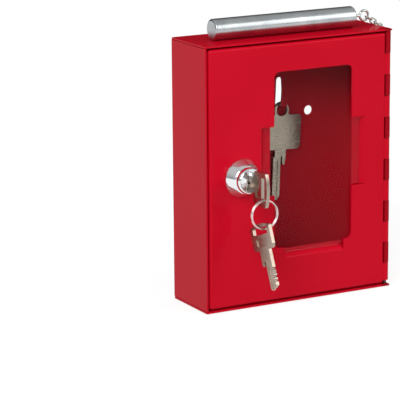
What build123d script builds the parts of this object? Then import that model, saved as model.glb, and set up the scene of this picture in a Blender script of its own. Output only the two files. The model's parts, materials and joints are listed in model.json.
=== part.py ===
from build123d import *
import os
from math import cos, radians, sin, tan

# Emergency key box with a glazed door.
# Frame: origin at the centre of the bottom face, +X right, -Y front, +Z up, millimetres.

# ---- Case ----------------------------------------------------------------------------------
BOX_W = 120.0                 # outside width
BOX_D = 40.0                  # outside depth
BOX_H = 150.0                 # outside height
SHEET = 1.0                   # steel sheet of case and door
BEND_OUT = 1.6                # outside radius of a fold
BEND_IN = BEND_OUT - SHEET
SEAM = 0.3                    # open seam between side walls and top or bottom plate
SCREW_HOLE_R = 2.7            # wall screw holes in the back
SCREW_HOLE_X = 28.4           # from the middle, left and right
SCREW_HOLE_Z = 99.9

FRONT = -BOX_D / 2
BACK = BOX_D / 2
SIDE = BOX_W / 2

# ---- Key hook, cut and bent out of the back -------------------------------------------------
HOOK_X = 8.6
HOOK_ROOT_Z = 104.8           # top face of its base bar
HOOK_REACH = 5.6              # how far it stands in front of the back panel
HOOK_TIP_Z = 115.6
HOOK_ROOT_W = 3.8
HOOK_TIP_W = 2.5
HOOK_SLOT_TOP_Z = 121.0
HOOK_KERF = 0.2               # slot is wider than the hook by this on each side

# ---- Rolled hinge on the right ----------------------------------------------------------------
PIN_R = 1.0
KNUCKLE_FIT = 0.06            # door knuckles turn on the pin with this clearance
BARREL_R = PIN_R + KNUCKLE_FIT + SHEET
HINGE_X = SIDE - BARREL_R
HINGE_Y = FRONT + BARREL_R
KNUCKLES = 12                 # the top one belongs to the case
KNUCKLE_GAP = 0.3
BARREL_Z0 = 1.6
BARREL_Z1 = 148.4
CURL_END = 75.0               # degrees by which the curl stops short of its own sheet
WALL_CUT_BACK = 4.5           # right wall stops this far behind the front at door knuckles

# ---- Door -------------------------------------------------------------------------------------
DOOR_LEFT = -58.1
DOOR_RIGHT = 55.2             # sheet edge where a case knuckle sits beside it
DOOR_Z0 = 1.8
DOOR_Z1 = 148.2
DOOR_LIP = 8.0                # depth of the returned edges
LIP_RIGHT = 51.0              # top and bottom returns stop here, clear of the hinge
LIP_NOTCH = 1.8               # corner relief between returns

WINDOW_X0 = -16.7
WINDOW_X1 = 33.8
WINDOW_Z0 = 32.0
WINDOW_Z1 = 131.5
WINDOW_CORNER = 3.5

# Three tabs of door sheet are pushed back to hold the pane.
TAB_LENGTH = 39.0
TAB_SIDE_REACH = 8.5          # from the window edge, left and right tab
TAB_FOOT_REACH = 6.1          # the bottom tab
TAB_SET = 2.6                 # how far a tab is pushed back
TAB_KERF = 0.25
TAB_SIDE_Z = 82.0             # middle of the side tabs
TAB_FOOT_X = 9.2              # middle of the bottom tab

PANE_T = 1.5
PANE_PLAY = 0.05
PANE_EDGE = 2.8               # pane edge from a tab's outer fold line
PANE_TOP_Z = 136.0

# ---- Cam lock ----------------------------------------------------------------------------------
LOCK_X = -37.3
LOCK_Z = 75.0
FLANGE_R = 11.0
FLANGE_RIM = 0.8
FLANGE_H = 3.6
FLANGE_FACE_R = 7.5
BARREL_SHELL_R = 7.9          # M16 lock barrel
BARREL_FLAT = 7.2             # half the distance across its two flats
BARREL_BACK = -7.1
PLUG_R = 6.5
PLUG_FIT = 0.05
PLUG_BACK = -7.0
HEAD_R = 7.6
HEAD_Y0 = -30.3               # front of the plug's head
HEAD_Y1 = -27.0
CUP_R = 6.3
CUP_DEPTH = 2.5
DRIVE_HALF = 3.0              # square end that carries the cam
DRIVE_BACK = -4.95
HOLE_FIT = 0.1

NUT_FLATS = 19.0
NUT_T = 4.0
LOCK_WASHER_R = 10.4
LOCK_WASHER_T = 0.8

CAM_T = 2.0
CAM_REACH = 17.5
CAM_W = 9.0
CAM_HUB_R = 7.0
CAM_FRONT = -6.95
CAM_WASHER_R = 5.5
CAM_WASHER_T = 0.8
CAM_SCREW_R = 1.95
CAM_SCREW_LENGTH = 5.2
CAM_SCREW_HEAD_R = 3.6
CAM_SCREW_HEAD_T = 2.1

WAFER_YS = (-23.2, -21.0, -18.8, -16.6)
WAFER_W = 7.0
WAFER_H = 10.4
WAFER_T = 1.0
WAFER_FIT = 0.1
WAFER_EAR = 1.9
WAFER_EAR_Z = 2.3
SPRING_POCKET_Z = -1.5        # floor of the pocket for the spring under each ear

# Keeper on the left wall, which the cam turns behind.
KEEPER_FRONT = -8.4
KEEPER_REACH = 8.0
KEEPER_FOOT = 9.0
KEEPER_Z0 = 66.0
KEEPER_Z1 = 84.0

# ---- Flat keys of the door lock ---------------------------------------------------------------
# A key is drawn tip down: x across the bow, y up from the bow's outer end, thickness along z.
KEY_T = 2.0
BOW_HALF = 9.4
BOW_CROWN = 1.7
BOW_L = 14.6
COLLAR_X0 = -4.1
COLLAR_X1 = 4.9
COLLAR_L = 6.4
STUB_W = 2.4
STUB_L = 2.6
BLADE_X = 2.1                 # the blade sits beside the bow's middle line
BLADE_HALF = 2.8
BLADE_L = 16.2
BLADE_POINT = 2.2
BITTING = ((25.6, 0.9), (27.8, 0.5), (30.0, 1.0), (32.2, 0.7))   # distance from the end, depth
BITTING_HALF = 0.8
GROOVE_W = 1.4
GROOVE_DEPTH = 0.5
RING_SLOT_HALF = 6.9
RING_SLOT_Y0 = -2.3
RING_SLOT_Y1 = -6.1
PANEL_W = 10.6
PANEL_Y0 = -8.2
PANEL_Y1 = -12.7
PANEL_DEPTH = 0.5

DOOR_KEY_END = -48.9          # outer end of the key in the lock
KEYWAY_FIT = 0.2

# ---- Split ring and spare key ------------------------------------------------------------------
RING_WIRE_R = 0.6
RING_R = 7.95                 # to the middle of the wire
RING_PITCH = 1.3              # between its two turns
RING_STEP = 16.0              # the wire crosses from turn to turn within this angle
RING_STEP_AT = 200.0
RING_Y = -44.7
RING_DROP = 1.3               # middle of its two turns above the slot edge that carries it
SPARE_TILT = 21.0             # the spare key hangs askew, tip to the front
SPARE_YAW = 84.5              # its plane against the door, in degrees
SPARE_HANG_X = 3.7            # where on its slot the spare key hangs
SPARE_HANG_Y = -3.6

# ---- Emergency key on the hook ------------------------------------------------------------------
EM_LOOP_R = 5.2
EM_HOLE_R = 3.6
EM_LOOP_DROP = 2.4            # loop centre below the hook's base bar
EM_Y = 16.4                   # middle of its thickness
EM_TILT = 2.5
EM_BOW_HALF = 14.2
EM_BOW_TOP = -2.3
EM_BOW_END = -23.2
EM_COLLAR_HALF = 4.2
EM_COLLAR_END = -27.0
EM_BLADE_X0 = -4.2
EM_BLADE_X1 = 0.7
EM_BLADE_END = -52.4
EM_STUB_X0 = 1.5
EM_STUB_END = -35.5
EM_PANEL_W = 17.0
EM_PANEL_H = 13.0
EM_PANEL_DEPTH = 0.25

# ---- Striker and its chain ------------------------------------------------------------------------
ROD_R = 6.0
ROD_X0 = -46.5
ROD_X1 = 43.5
ROD_Y = -4.0
ROD_LIFT = 0.1                # gap to the top plate
ROD_CHAMFER = 1.0
EYE_WIRE_R = 0.7
EYE_R = 2.8
EYE_SHANK = 5.0               # from the rod's end to the middle of the eye's wire
EYE_THREAD = 6.0

LINK_WIRE_R = 0.42
LINK_HALF_L = 2.3             # half length to the wire's middle
LINK_HALF_W = 1.35
LINK_GAP = 0.3                # between the wires of two links
TOP_LINKS = 3                 # from the striker's eye over the edge of the top plate
SIDE_LINKS = 3                # from there down to the staple
TOP_DROP = 31.0               # slope of the top run, degrees
STAPLE_WIRE_R = 0.65
STAPLE_HALF = 3.2
STAPLE_BEND = 1.2
STAPLE_HOLE_R = 0.8


# ---- Small helpers --------------------------------------------------------------------------------
def block(x, y, z):
    """A box from three (low, high) pairs."""
    size = [high - low for low, high in (x, y, z)]
    middle = [(high + low) / 2 for low, high in (x, y, z)]
    return Pos(*middle) * Box(*size)


def face_of(points):
    """A flat face with straight edges through the points."""
    return make_face(Polyline(*points, close=True))


def rounded(sketch, corners):
    """Round the named corners of a flat sketch; corners maps (x, y) to a radius."""
    for (x, y), radius in corners.items():
        corner = min(sketch.vertices(), key=lambda v: (v.X - x) ** 2 + (v.Y - y) ** 2)
        sketch = fillet(corner, radius)
    return sketch


def upright(sketch, z0, z1):
    """Extrude an XY sketch from z0 to z1."""
    return Pos(0, 0, z0) * extrude(sketch, z1 - z0)


def facing(sketch, y0, y1):
    """Extrude an XZ sketch from y0 to y1."""
    return extrude(Plane.XZ.offset(-y0) * sketch, -(y1 - y0))


def sideways(sketch, x0, x1):
    """Extrude a YZ sketch from x0 to x1."""
    return extrude(Plane.YZ.offset(x0) * sketch, x1 - x0)


def turned(points):
    """Turn a profile of (radius, y) points about the lock's axis."""
    return Pos(LOCK_X, 0, LOCK_Z) * revolve(face_of(points), Axis.Y)


def lock_cylinder(radius, y0, y1):
    return Pos(LOCK_X, 0, LOCK_Z) * facing(Circle(radius), y0, y1)


def knuckle_spans():
    """(z0, z1) of each hinge segment, from the top down."""
    pitch = (BARREL_Z1 - BARREL_Z0) / KNUCKLES
    for i in range(KNUCKLES):
        top = BARREL_Z1 - i * pitch
        yield top - pitch + KNUCKLE_GAP / 2, top - KNUCKLE_GAP / 2


# ---- Case ----------------------------------------------------------------------------------------
def case_knuckle(z0, z1):
    """Right wall rolled forward round the pin, with the open slit of the curl."""
    ring = Pos(HINGE_X, HINGE_Y) * (Circle(BARREL_R) - Circle(PIN_R))
    inner_wall = SIDE - SHEET
    end_x = HINGE_X + 3 * cos(radians(CURL_END))
    end_y = HINGE_Y + 3 * sin(radians(CURL_END))
    slit = face_of([(HINGE_X, HINGE_Y), (end_x, end_y), (inner_wall, end_y), (inner_wall, HINGE_Y)])
    wall = face_of([
        (inner_wall, HINGE_Y),
        (SIDE, HINGE_Y),
        (SIDE, FRONT + WALL_CUT_BACK + SHEET),
        (inner_wall, FRONT + WALL_CUT_BACK + SHEET),
    ])
    return upright(ring - slit + wall - Pos(HINGE_X, HINGE_Y) * Circle(PIN_R), z0, z1)


def case_walls():
    """Left wall, back and right wall folded from one strip."""
    inner = SIDE - SHEET
    wall_front = FRONT + WALL_CUT_BACK
    profile = face_of([
        (-SIDE, FRONT), (-SIDE, BACK), (SIDE, BACK), (SIDE, wall_front),
        (inner, wall_front), (inner, BACK - SHEET), (-inner, BACK - SHEET), (-inner, FRONT),
    ])
    profile = rounded(profile, {
        (-SIDE, BACK): BEND_OUT,
        (SIDE, BACK): BEND_OUT,
        (inner, BACK - SHEET): BEND_IN,
        (-inner, BACK - SHEET): BEND_IN,
    })
    return upright(profile, SHEET + SEAM, BOX_H - SHEET - SEAM)


def case_plates():
    """Bottom plate, back and top plate folded from one strip, notched at the back corners."""
    profile = face_of([
        (FRONT, 0), (BACK, 0), (BACK, BOX_H), (FRONT, BOX_H), (FRONT, BOX_H - SHEET),
        (BACK - SHEET, BOX_H - SHEET), (BACK - SHEET, SHEET), (FRONT, SHEET),
    ])
    profile = rounded(profile, {
        (BACK, 0): BEND_OUT,
        (BACK, BOX_H): BEND_OUT,
        (BACK - SHEET, BOX_H - SHEET): BEND_IN,
        (BACK - SHEET, SHEET): BEND_IN,
    })
    plates = sideways(profile, -SIDE, SIDE)
    for side in (-1, 1):
        edge = sorted((side * (SIDE - BEND_OUT), side * (SIDE + 1)))
        plates -= block(edge, (BACK - 3, BACK + 1), (SHEET + SEAM, BOX_H - SHEET - SEAM))
    return plates


def hook_slot():
    """The tapered opening that the hook leaves in the back."""
    half_root = HOOK_ROOT_W / 2 + HOOK_KERF
    half_tip = HOOK_TIP_W / 2 + HOOK_KERF
    shoulder = HOOK_SLOT_TOP_Z - half_tip
    outline = face_of([
        (-half_root, HOOK_ROOT_Z), (half_root, HOOK_ROOT_Z), (half_tip, shoulder), (-half_tip, shoulder),
    ]) + Pos(0, shoulder) * Circle(half_tip)
    return Pos(HOOK_X, 0, 0) * facing(outline, BACK - 2 * SHEET, BACK + SHEET)


def hook():
    """A tongue of the back panel, bent forward and then up."""
    base = HOOK_ROOT_Z - SHEET
    front = BACK - SHEET - HOOK_REACH
    strip = face_of([
        (BACK, base - 2), (BACK, HOOK_ROOT_Z), (front + SHEET, HOOK_ROOT_Z), (front + SHEET, HOOK_TIP_Z),
        (front, HOOK_TIP_Z), (front, base), (BACK - SHEET, base), (BACK - SHEET, base - 2),
    ])
    strip = rounded(strip, {
        (BACK, HOOK_ROOT_Z): BEND_OUT,
        (front, base): BEND_OUT,
        (front + SHEET, HOOK_ROOT_Z): BEND_IN,
        (BACK - SHEET, base): BEND_IN,
    })
    half_root = HOOK_ROOT_W / 2
    half_tip = HOOK_TIP_W / 2
    shoulder = HOOK_TIP_Z - half_tip
    outline = face_of([
        (-half_root, base - 3), (half_root, base - 3), (half_root, HOOK_ROOT_Z),
        (half_tip, shoulder), (-half_tip, shoulder), (-half_root, HOOK_ROOT_Z),
    ]) + Pos(0, shoulder) * Circle(half_tip)
    bar = sideways(strip, -half_root, half_root)
    return Pos(HOOK_X, 0, 0) * (bar & facing(outline, front - 1, BACK + 1))


def body_shell():
    shell = case_walls() + case_plates()
    for i, (z0, z1) in enumerate(knuckle_spans()):
        if i % 2 == 0:
            shell += case_knuckle(z0, z1)
    shell -= hook_slot()
    shell += hook()
    for side in (-1, 1):
        screw_hole = Pos(side * SCREW_HOLE_X, 0, SCREW_HOLE_Z)
        shell -= screw_hole * facing(Circle(SCREW_HOLE_R), BACK - 2 * SHEET, BACK + SHEET)
    for y, z in staple_legs():
        leg_hole = Pos(SIDE, y, z) * (Rot(0, 90, 0) * Cylinder(STAPLE_HOLE_R, 4 * SHEET))
        shell -= leg_hole
    return shell


def latch_keeper():
    """Angle welded inside the left wall."""
    wall = -SIDE + SHEET
    back = KEEPER_FRONT + SHEET
    profile = face_of([
        (wall, KEEPER_FRONT), (wall + KEEPER_REACH, KEEPER_FRONT), (wall + KEEPER_REACH, back),
        (wall + SHEET, back), (wall + SHEET, back + KEEPER_FOOT), (wall, back + KEEPER_FOOT),
    ])
    profile = rounded(profile, {(wall, KEEPER_FRONT): BEND_OUT, (wall + SHEET, back): BEND_IN})
    angle = upright(profile, KEEPER_Z0, KEEPER_Z1)
    corners = [e for e in angle.edges().filter_by(Axis.Y) if e.center().X > wall + KEEPER_REACH - 0.1]
    return fillet(corners, 2.5)


def hinge_pin():
    length = BOX_H - 2 * SHEET - 0.2
    return Pos(HINGE_X, HINGE_Y, BOX_H / 2) * Cylinder(PIN_R, length)


# ---- Door ----------------------------------------------------------------------------------------
def door_pan():
    """Front sheet with returned left, top and bottom edges."""
    lip_back = FRONT + DOOR_LIP
    outer = block((DOOR_LEFT, DOOR_RIGHT), (FRONT, lip_back), (DOOR_Z0, DOOR_Z1))
    inner = block(
        (DOOR_LEFT + SHEET, SIDE), (FRONT + SHEET, lip_back + 1), (DOOR_Z0 + SHEET, DOOR_Z1 - SHEET)
    )

    def folds(solid, y):
        """The left, top and bottom edges of the face at depth y."""
        flat = [e for e in solid.edges() if abs(e.center().Y - y) < 0.01]
        right = max(e.center().X for e in flat)
        return [e for e in flat if e.center().X < right - 0.01]

    outer = fillet(folds(outer, FRONT), BEND_OUT)
    inner = fillet(folds(inner, FRONT + SHEET), BEND_IN)
    pan = outer - inner
    behind = (FRONT + BEND_OUT + 1, lip_back + 1)
    for z in ((DOOR_Z0 - 1, DOOR_Z0 + LIP_NOTCH), (DOOR_Z1 - LIP_NOTCH, DOOR_Z1 + 1)):
        pan -= block((DOOR_LEFT - 1, DOOR_LEFT + LIP_NOTCH), behind, z)
        pan -= block((LIP_RIGHT, DOOR_RIGHT + 1), (FRONT + SHEET, lip_back + 1), z)
    return pan


def door_knuckle(z0, z1):
    """Door sheet rolled back round the pin, with the open slit of the curl."""
    bore = Circle(PIN_R + KNUCKLE_FIT)
    ring = Pos(HINGE_X, HINGE_Y) * (Circle(BARREL_R) - bore)
    inner_face = FRONT + SHEET
    end_x = HINGE_X - 3 * sin(radians(CURL_END))
    end_y = HINGE_Y - 3 * cos(radians(CURL_END))
    slit = face_of([(HINGE_X, HINGE_Y), (end_x, end_y), (end_x, inner_face), (HINGE_X, inner_face)])
    sheet = face_of([
        (DOOR_RIGHT - 1, FRONT), (HINGE_X, FRONT), (HINGE_X, inner_face), (DOOR_RIGHT - 1, inner_face),
    ])
    return upright(ring - slit + sheet - Pos(HINGE_X, HINGE_Y) * bore, z0, z1)


def pane_tab(reach):
    """A joggled tab drawn along +X from its outer fold line, standing in Z, set back in Y."""
    step = SHEET * tan(radians(22.5))
    profile = face_of([
        (-step, 0), (0, 0), (TAB_SET, TAB_SET), (reach, TAB_SET),
        (reach, TAB_SET + SHEET), (TAB_SET - step, TAB_SET + SHEET), (-step, SHEET),
    ])
    half = TAB_LENGTH / 2 - TAB_KERF
    return Pos(0, FRONT, 0) * upright(profile, -half, half)


def window_and_pockets():
    """Everything that is cut out of the door sheet for the window and its three tabs."""
    width = WINDOW_X1 - WINDOW_X0
    height = WINDOW_Z1 - WINDOW_Z0
    middle_x = (WINDOW_X0 + WINDOW_X1) / 2
    middle_z = (WINDOW_Z0 + WINDOW_Z1) / 2
    outline = Pos(middle_x, middle_z) * RectangleRounded(width, height, WINDOW_CORNER)
    outline += Pos(middle_x, TAB_SIDE_Z) * Rectangle(width + 2 * TAB_SIDE_REACH, TAB_LENGTH)
    foot_top = WINDOW_Z0 + WINDOW_CORNER
    foot_bottom = WINDOW_Z0 - TAB_FOOT_REACH
    foot = Pos(TAB_FOOT_X, (foot_top + foot_bottom) / 2) * Rectangle(TAB_LENGTH, foot_top - foot_bottom)
    return facing(outline + foot, FRONT - 1, FRONT + 2 * SHEET - 0.5)


def door_panel():
    door = door_pan() - window_and_pockets()
    for i, (z0, z1) in enumerate(knuckle_spans()):
        if i % 2 == 1:
            door += door_knuckle(z0, z1)
    side_tab = pane_tab(TAB_SIDE_REACH)
    foot_tab = Rot(0, -90, 0) * pane_tab(TAB_FOOT_REACH)
    door += Pos(WINDOW_X0 - TAB_SIDE_REACH, 0, TAB_SIDE_Z) * side_tab
    door += Pos(WINDOW_X1 + TAB_SIDE_REACH, 0, TAB_SIDE_Z) * mirror(side_tab, Plane.YZ)
    door += Pos(TAB_FOOT_X, 0, WINDOW_Z0 - TAB_FOOT_REACH) * foot_tab
    return door - lock_section(BARREL_SHELL_R + HOLE_FIT, BARREL_FLAT + HOLE_FIT, FRONT - 1, FRONT + 2)


def glass_pane():
    x0 = WINDOW_X0 - TAB_SIDE_REACH + PANE_EDGE
    x1 = WINDOW_X1 + TAB_SIDE_REACH - PANE_EDGE
    z0 = WINDOW_Z0 - TAB_FOOT_REACH + PANE_EDGE
    sheet = Pos((x0 + x1) / 2, (z0 + PANE_TOP_Z) / 2) * RectangleRounded(x1 - x0, PANE_TOP_Z - z0, 0.8)
    front = FRONT + SHEET + PANE_PLAY
    return facing(sheet, front, front + PANE_T)


# ---- Lock ----------------------------------------------------------------------------------------
def lock_section(radius, flat, y0, y1):
    """A round bar with two flats, along the lock's axis."""
    section = Circle(radius) & Rectangle(2 * flat, 3 * radius)
    return Pos(LOCK_X, 0, LOCK_Z) * facing(section, y0, y1)


def lock_housing():
    flange = turned([
        (PLUG_R, FRONT - FLANGE_H),
        (FLANGE_FACE_R, FRONT - FLANGE_H),
        (FLANGE_R, FRONT - FLANGE_RIM),
        (FLANGE_R, FRONT),
        (PLUG_R, FRONT),
    ])
    barrel = lock_section(BARREL_SHELL_R, BARREL_FLAT, FRONT, BARREL_BACK)
    bore = lock_cylinder(PLUG_R + PLUG_FIT, FRONT - FLANGE_H - 1, BARREL_BACK + 1)
    return flange + barrel - bore


def lock_washer():
    y0 = FRONT + SHEET
    disc = lock_cylinder(LOCK_WASHER_R, y0, y0 + LOCK_WASHER_T)
    return disc - lock_section(BARREL_SHELL_R + HOLE_FIT, BARREL_FLAT + HOLE_FIT, y0 - 1, y0 + 2)


def lock_nut():
    y0 = FRONT + SHEET + LOCK_WASHER_T
    hexagon = RegularPolygon(NUT_FLATS / 2, 6, major_radius=False, rotation=30)
    blank = Pos(LOCK_X, 0, LOCK_Z) * facing(hexagon, y0, y0 + NUT_T)
    corner_r = NUT_FLATS / 2 / cos(radians(30))
    bevel = turned([(0, y0), (corner_r - 0.6, y0), (corner_r, y0 + 0.5), (corner_r, y0 + NUT_T - 0.5),
                    (corner_r - 0.6, y0 + NUT_T), (0, y0 + NUT_T)])
    return (blank & bevel) - lock_cylinder(BARREL_SHELL_R + PLUG_FIT, y0 - 1, y0 + NUT_T + 1)


def keyway():
    """The opening in the plug: blade slot, short slot for the key's stub."""
    half_t = KEY_T / 2 + KEYWAY_FIT
    blade_end = DOOR_KEY_END + BOW_L + COLLAR_L + BLADE_L + KEYWAY_FIT
    stub_end = DOOR_KEY_END + BOW_L + COLLAR_L + STUB_L + KEYWAY_FIT
    stub_x0 = COLLAR_X0 - BLADE_X - KEYWAY_FIT
    stub_x1 = stub_x0 + STUB_W + 2 * KEYWAY_FIT
    blade_half = BLADE_HALF + KEYWAY_FIT
    slot = block((-half_t, half_t), (HEAD_Y0, blade_end), (-blade_half, blade_half))
    slot += block((-half_t, half_t), (HEAD_Y0, stub_end), (stub_x0, stub_x1))
    return Pos(LOCK_X, 0, LOCK_Z) * slot


def lock_plug():
    cup_floor = HEAD_Y0 + CUP_DEPTH
    plug = turned([
        (0, cup_floor), (CUP_R, cup_floor), (CUP_R, HEAD_Y0 + 0.4), (CUP_R + 0.4, HEAD_Y0),
        (HEAD_R - 0.5, HEAD_Y0), (HEAD_R, HEAD_Y0 + 0.5), (HEAD_R, HEAD_Y1), (PLUG_R, HEAD_Y1),
        (PLUG_R, PLUG_BACK), (0, PLUG_BACK),
    ])
    drive = block((-DRIVE_HALF, DRIVE_HALF), (PLUG_BACK, DRIVE_BACK), (-DRIVE_HALF, DRIVE_HALF))
    plug += Pos(LOCK_X, 0, LOCK_Z) * drive
    plug -= keyway()
    plug -= lock_cylinder(CAM_SCREW_R, DRIVE_BACK - CAM_SCREW_LENGTH, DRIVE_BACK + 1)
    half_slot = WAFER_W / 2 + WAFER_FIT
    half_t = WAFER_T / 2 + WAFER_FIT
    for y in WAFER_YS:
        level = (y - half_t, y + half_t)
        cut = block((-half_slot, half_slot), level, (-PLUG_R - 1, PLUG_R + 1))
        cut += block((0, half_slot + WAFER_EAR), level, (SPRING_POCKET_Z, WAFER_EAR_Z + 1.5))
        plug -= Pos(LOCK_X, 0, LOCK_Z) * cut
    return plug


def plug_wafer(y):
    """A flat wafer with its window and the ear that its spring pushes."""
    half_w = WAFER_W / 2
    plate = Rectangle(WAFER_W, WAFER_H)
    plate += Pos(half_w + WAFER_EAR / 2, WAFER_EAR_Z + 0.5) * Rectangle(WAFER_EAR, 1.0)
    window = Rectangle(KEY_T + 2 * KEYWAY_FIT + 0.1, 2 * (BLADE_HALF + KEYWAY_FIT) + 0.2)
    return Pos(LOCK_X, 0, LOCK_Z) * facing(plate - window, y - WAFER_T / 2, y + WAFER_T / 2)


def lock_cam():
    """Flat cam on the square end; it hangs down when the lock is open."""
    half = CAM_W / 2
    arm = Pos(0, -(CAM_REACH - half) / 2) * Rectangle(CAM_W, CAM_REACH - half)
    tip = Pos(0, half - CAM_REACH) * Circle(half)
    outline = Circle(CAM_HUB_R) + arm + tip - Rectangle(2 * DRIVE_HALF + 0.1, 2 * DRIVE_HALF + 0.1)
    return Pos(LOCK_X, 0, LOCK_Z) * facing(outline, CAM_FRONT, CAM_FRONT + CAM_T)


def cam_washer():
    y0 = CAM_FRONT + CAM_T
    return Pos(LOCK_X, 0, LOCK_Z) * facing(
        Circle(CAM_WASHER_R) - Circle(CAM_SCREW_R + HOLE_FIT), y0, y0 + CAM_WASHER_T
    )


def cam_screw():
    seat = CAM_FRONT + CAM_T + CAM_WASHER_T
    shank_end = DRIVE_BACK - CAM_SCREW_LENGTH + 0.2
    head_back = seat + CAM_SCREW_HEAD_T
    screw = turned([
        (0, shank_end), (CAM_SCREW_R - 0.4, shank_end), (CAM_SCREW_R, shank_end + 0.4),
        (CAM_SCREW_R, seat), (CAM_SCREW_HEAD_R, seat), (CAM_SCREW_HEAD_R, head_back - 0.9),
        (CAM_SCREW_HEAD_R - 0.9, head_back), (0, head_back),
    ])
    cross = Rectangle(3.6, 0.8) + Rectangle(0.8, 3.6)
    return screw - Pos(LOCK_X, 0, LOCK_Z) * facing(cross, head_back - 1.1, head_back + 1)


# ---- Keys ----------------------------------------------------------------------------------------
def bitted_blade(collar_end):
    """Blade outline with its bitting notches on the right edge and a slanted point."""
    left = BLADE_X - BLADE_HALF
    right = BLADE_X + BLADE_HALF
    end = collar_end - BLADE_L
    points = [(left, collar_end + 1), (left, end + 0.8), (left + 0.9, end), (right, end + BLADE_POINT)]
    for distance, depth in reversed(BITTING):
        points += [
            (right, -distance - BITTING_HALF), (right - depth, -distance), (right, -distance + BITTING_HALF)
        ]
    points.append((right, collar_end + 1))
    return face_of(points)


def lock_key():
    """Flat steel key: crowned bow with ring slot and sunk panel, collar, stub and bitted blade."""
    top = ThreePointArc((-BOW_HALF, -BOW_CROWN), (0, 0), (BOW_HALF, -BOW_CROWN))
    rest = Polyline(
        (BOW_HALF, -BOW_CROWN), (BOW_HALF, -BOW_L), (-BOW_HALF, -BOW_L), (-BOW_HALF, -BOW_CROWN)
    )
    bow = make_face([top, rest])
    bow = rounded(bow, {
        (-BOW_HALF, -BOW_CROWN): 1.5,
        (BOW_HALF, -BOW_CROWN): 1.5,
        (BOW_HALF, -BOW_L): 2.5,
        (-BOW_HALF, -BOW_L): 2.5,
    })
    collar_end = -BOW_L - COLLAR_L
    collar = face_of([
        (COLLAR_X0, -BOW_L + 1), (COLLAR_X1, -BOW_L + 1), (COLLAR_X1, collar_end), (COLLAR_X0, collar_end),
    ])
    stub = face_of([
        (COLLAR_X0, collar_end + 1), (COLLAR_X0 + STUB_W, collar_end + 1),
        (COLLAR_X0 + STUB_W, collar_end - STUB_L), (COLLAR_X0 + 0.5, collar_end - STUB_L),
        (COLLAR_X0, collar_end - STUB_L + 0.5),
    ])
    slot = face_of([
        (-RING_SLOT_HALF, RING_SLOT_Y1), (RING_SLOT_HALF, RING_SLOT_Y1),
        (RING_SLOT_HALF - 0.25, RING_SLOT_Y0), (-RING_SLOT_HALF + 0.25, RING_SLOT_Y0),
    ])
    slot = fillet(slot.vertices(), 0.6)
    outline = bow + collar + stub + bitted_blade(collar_end) - slot
    key = extrude(outline, KEY_T / 2, both=True)
    panel = Pos(0, (PANEL_Y0 + PANEL_Y1) / 2) * RectangleRounded(PANEL_W, PANEL_Y0 - PANEL_Y1, 0.6)
    groove_x = BLADE_X - BLADE_HALF + 1.3
    groove = face_of([
        (groove_x, -BOW_L - 2.5), (groove_x + GROOVE_W, -BOW_L - 2.5),
        (groove_x + GROOVE_W, collar_end - BLADE_L - 1), (groove_x, collar_end - BLADE_L - 1),
    ])
    for side in (-1, 1):
        floor = KEY_T / 2 - PANEL_DEPTH
        key -= Pos(0, 0, side * (floor + 0.5)) * extrude(panel, 0.5, both=True)
        floor = KEY_T / 2 - GROOVE_DEPTH
        key -= Pos(0, 0, side * (floor + 0.5)) * extrude(groove, 0.5, both=True)
    return key


def door_key():
    """The key in the lock: bow upright and square to the door, blade into the plug."""
    seat = Plane(origin=(LOCK_X, DOOR_KEY_END, LOCK_Z - BLADE_X), x_dir=(0, 0, 1), z_dir=(1, 0, 0))
    return seat * lock_key()


def ring_top_z():
    """Middle of the ring's wire where it passes through the slot of the key in the lock."""
    return LOCK_Z - BLADE_X - RING_SLOT_HALF + RING_DROP


def wire_section(radius):
    """Drawn wire, as a hexagon of the same width."""
    return RegularPolygon(radius, 6, major_radius=False)


def wire_bar(radius, start, end):
    """A straight piece of wire between two points."""
    run = Vector(*end) - Vector(*start)
    return extrude(Plane(origin=start, z_dir=run) * wire_section(radius), run.length)


def wire_arc(radius, bend, degrees):
    """Wire bent round the Z axis, starting on +X."""
    section = Plane.XZ * Pos(bend, 0) * wire_section(radius)
    return revolve(section, Axis.Z, degrees)


def key_ring():
    """Split ring: two flat turns side by side, joined where the wire steps from one to the other."""
    section = Plane.XZ * Pos(RING_R, 0) * Rot(0, 0, 30) * wire_section(RING_WIRE_R)
    turn = revolve(section, Axis.Z, 360 - RING_STEP)
    lower = Pos(0, 0, -RING_PITCH / 2) * turn
    upper = Pos(0, 0, RING_PITCH / 2) * Rot(0, 0, RING_STEP) * turn
    angle = radians(RING_STEP)
    upper_start = (RING_R * cos(angle), RING_R * sin(angle), RING_PITCH / 2)
    joggle = wire_bar(RING_WIRE_R, (RING_R, 0, -RING_PITCH / 2), upper_start)
    centre = Pos(LOCK_X, RING_Y, ring_top_z() - RING_R)
    return centre * Rot(90, 0, 0) * Rot(0, 0, RING_STEP_AT) * (lower + joggle + upper)


def spare_key():
    """Second key, hanging askew from the lowest point of the ring."""
    along = Vector(cos(radians(SPARE_YAW)), -sin(radians(SPARE_YAW)), 0)
    up = Vector(0, 0, 1)
    tilt = radians(SPARE_TILT)
    across = along * cos(tilt) + up * sin(tilt)
    rise = up * cos(tilt) - along * sin(tilt)
    hang = Vector(LOCK_X, RING_Y, ring_top_z() - 2 * RING_R)
    origin = hang - across * SPARE_HANG_X - rise * SPARE_HANG_Y
    seat = Plane(origin=origin, x_dir=across, z_dir=across.cross(rise))
    return seat * lock_key()


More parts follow.
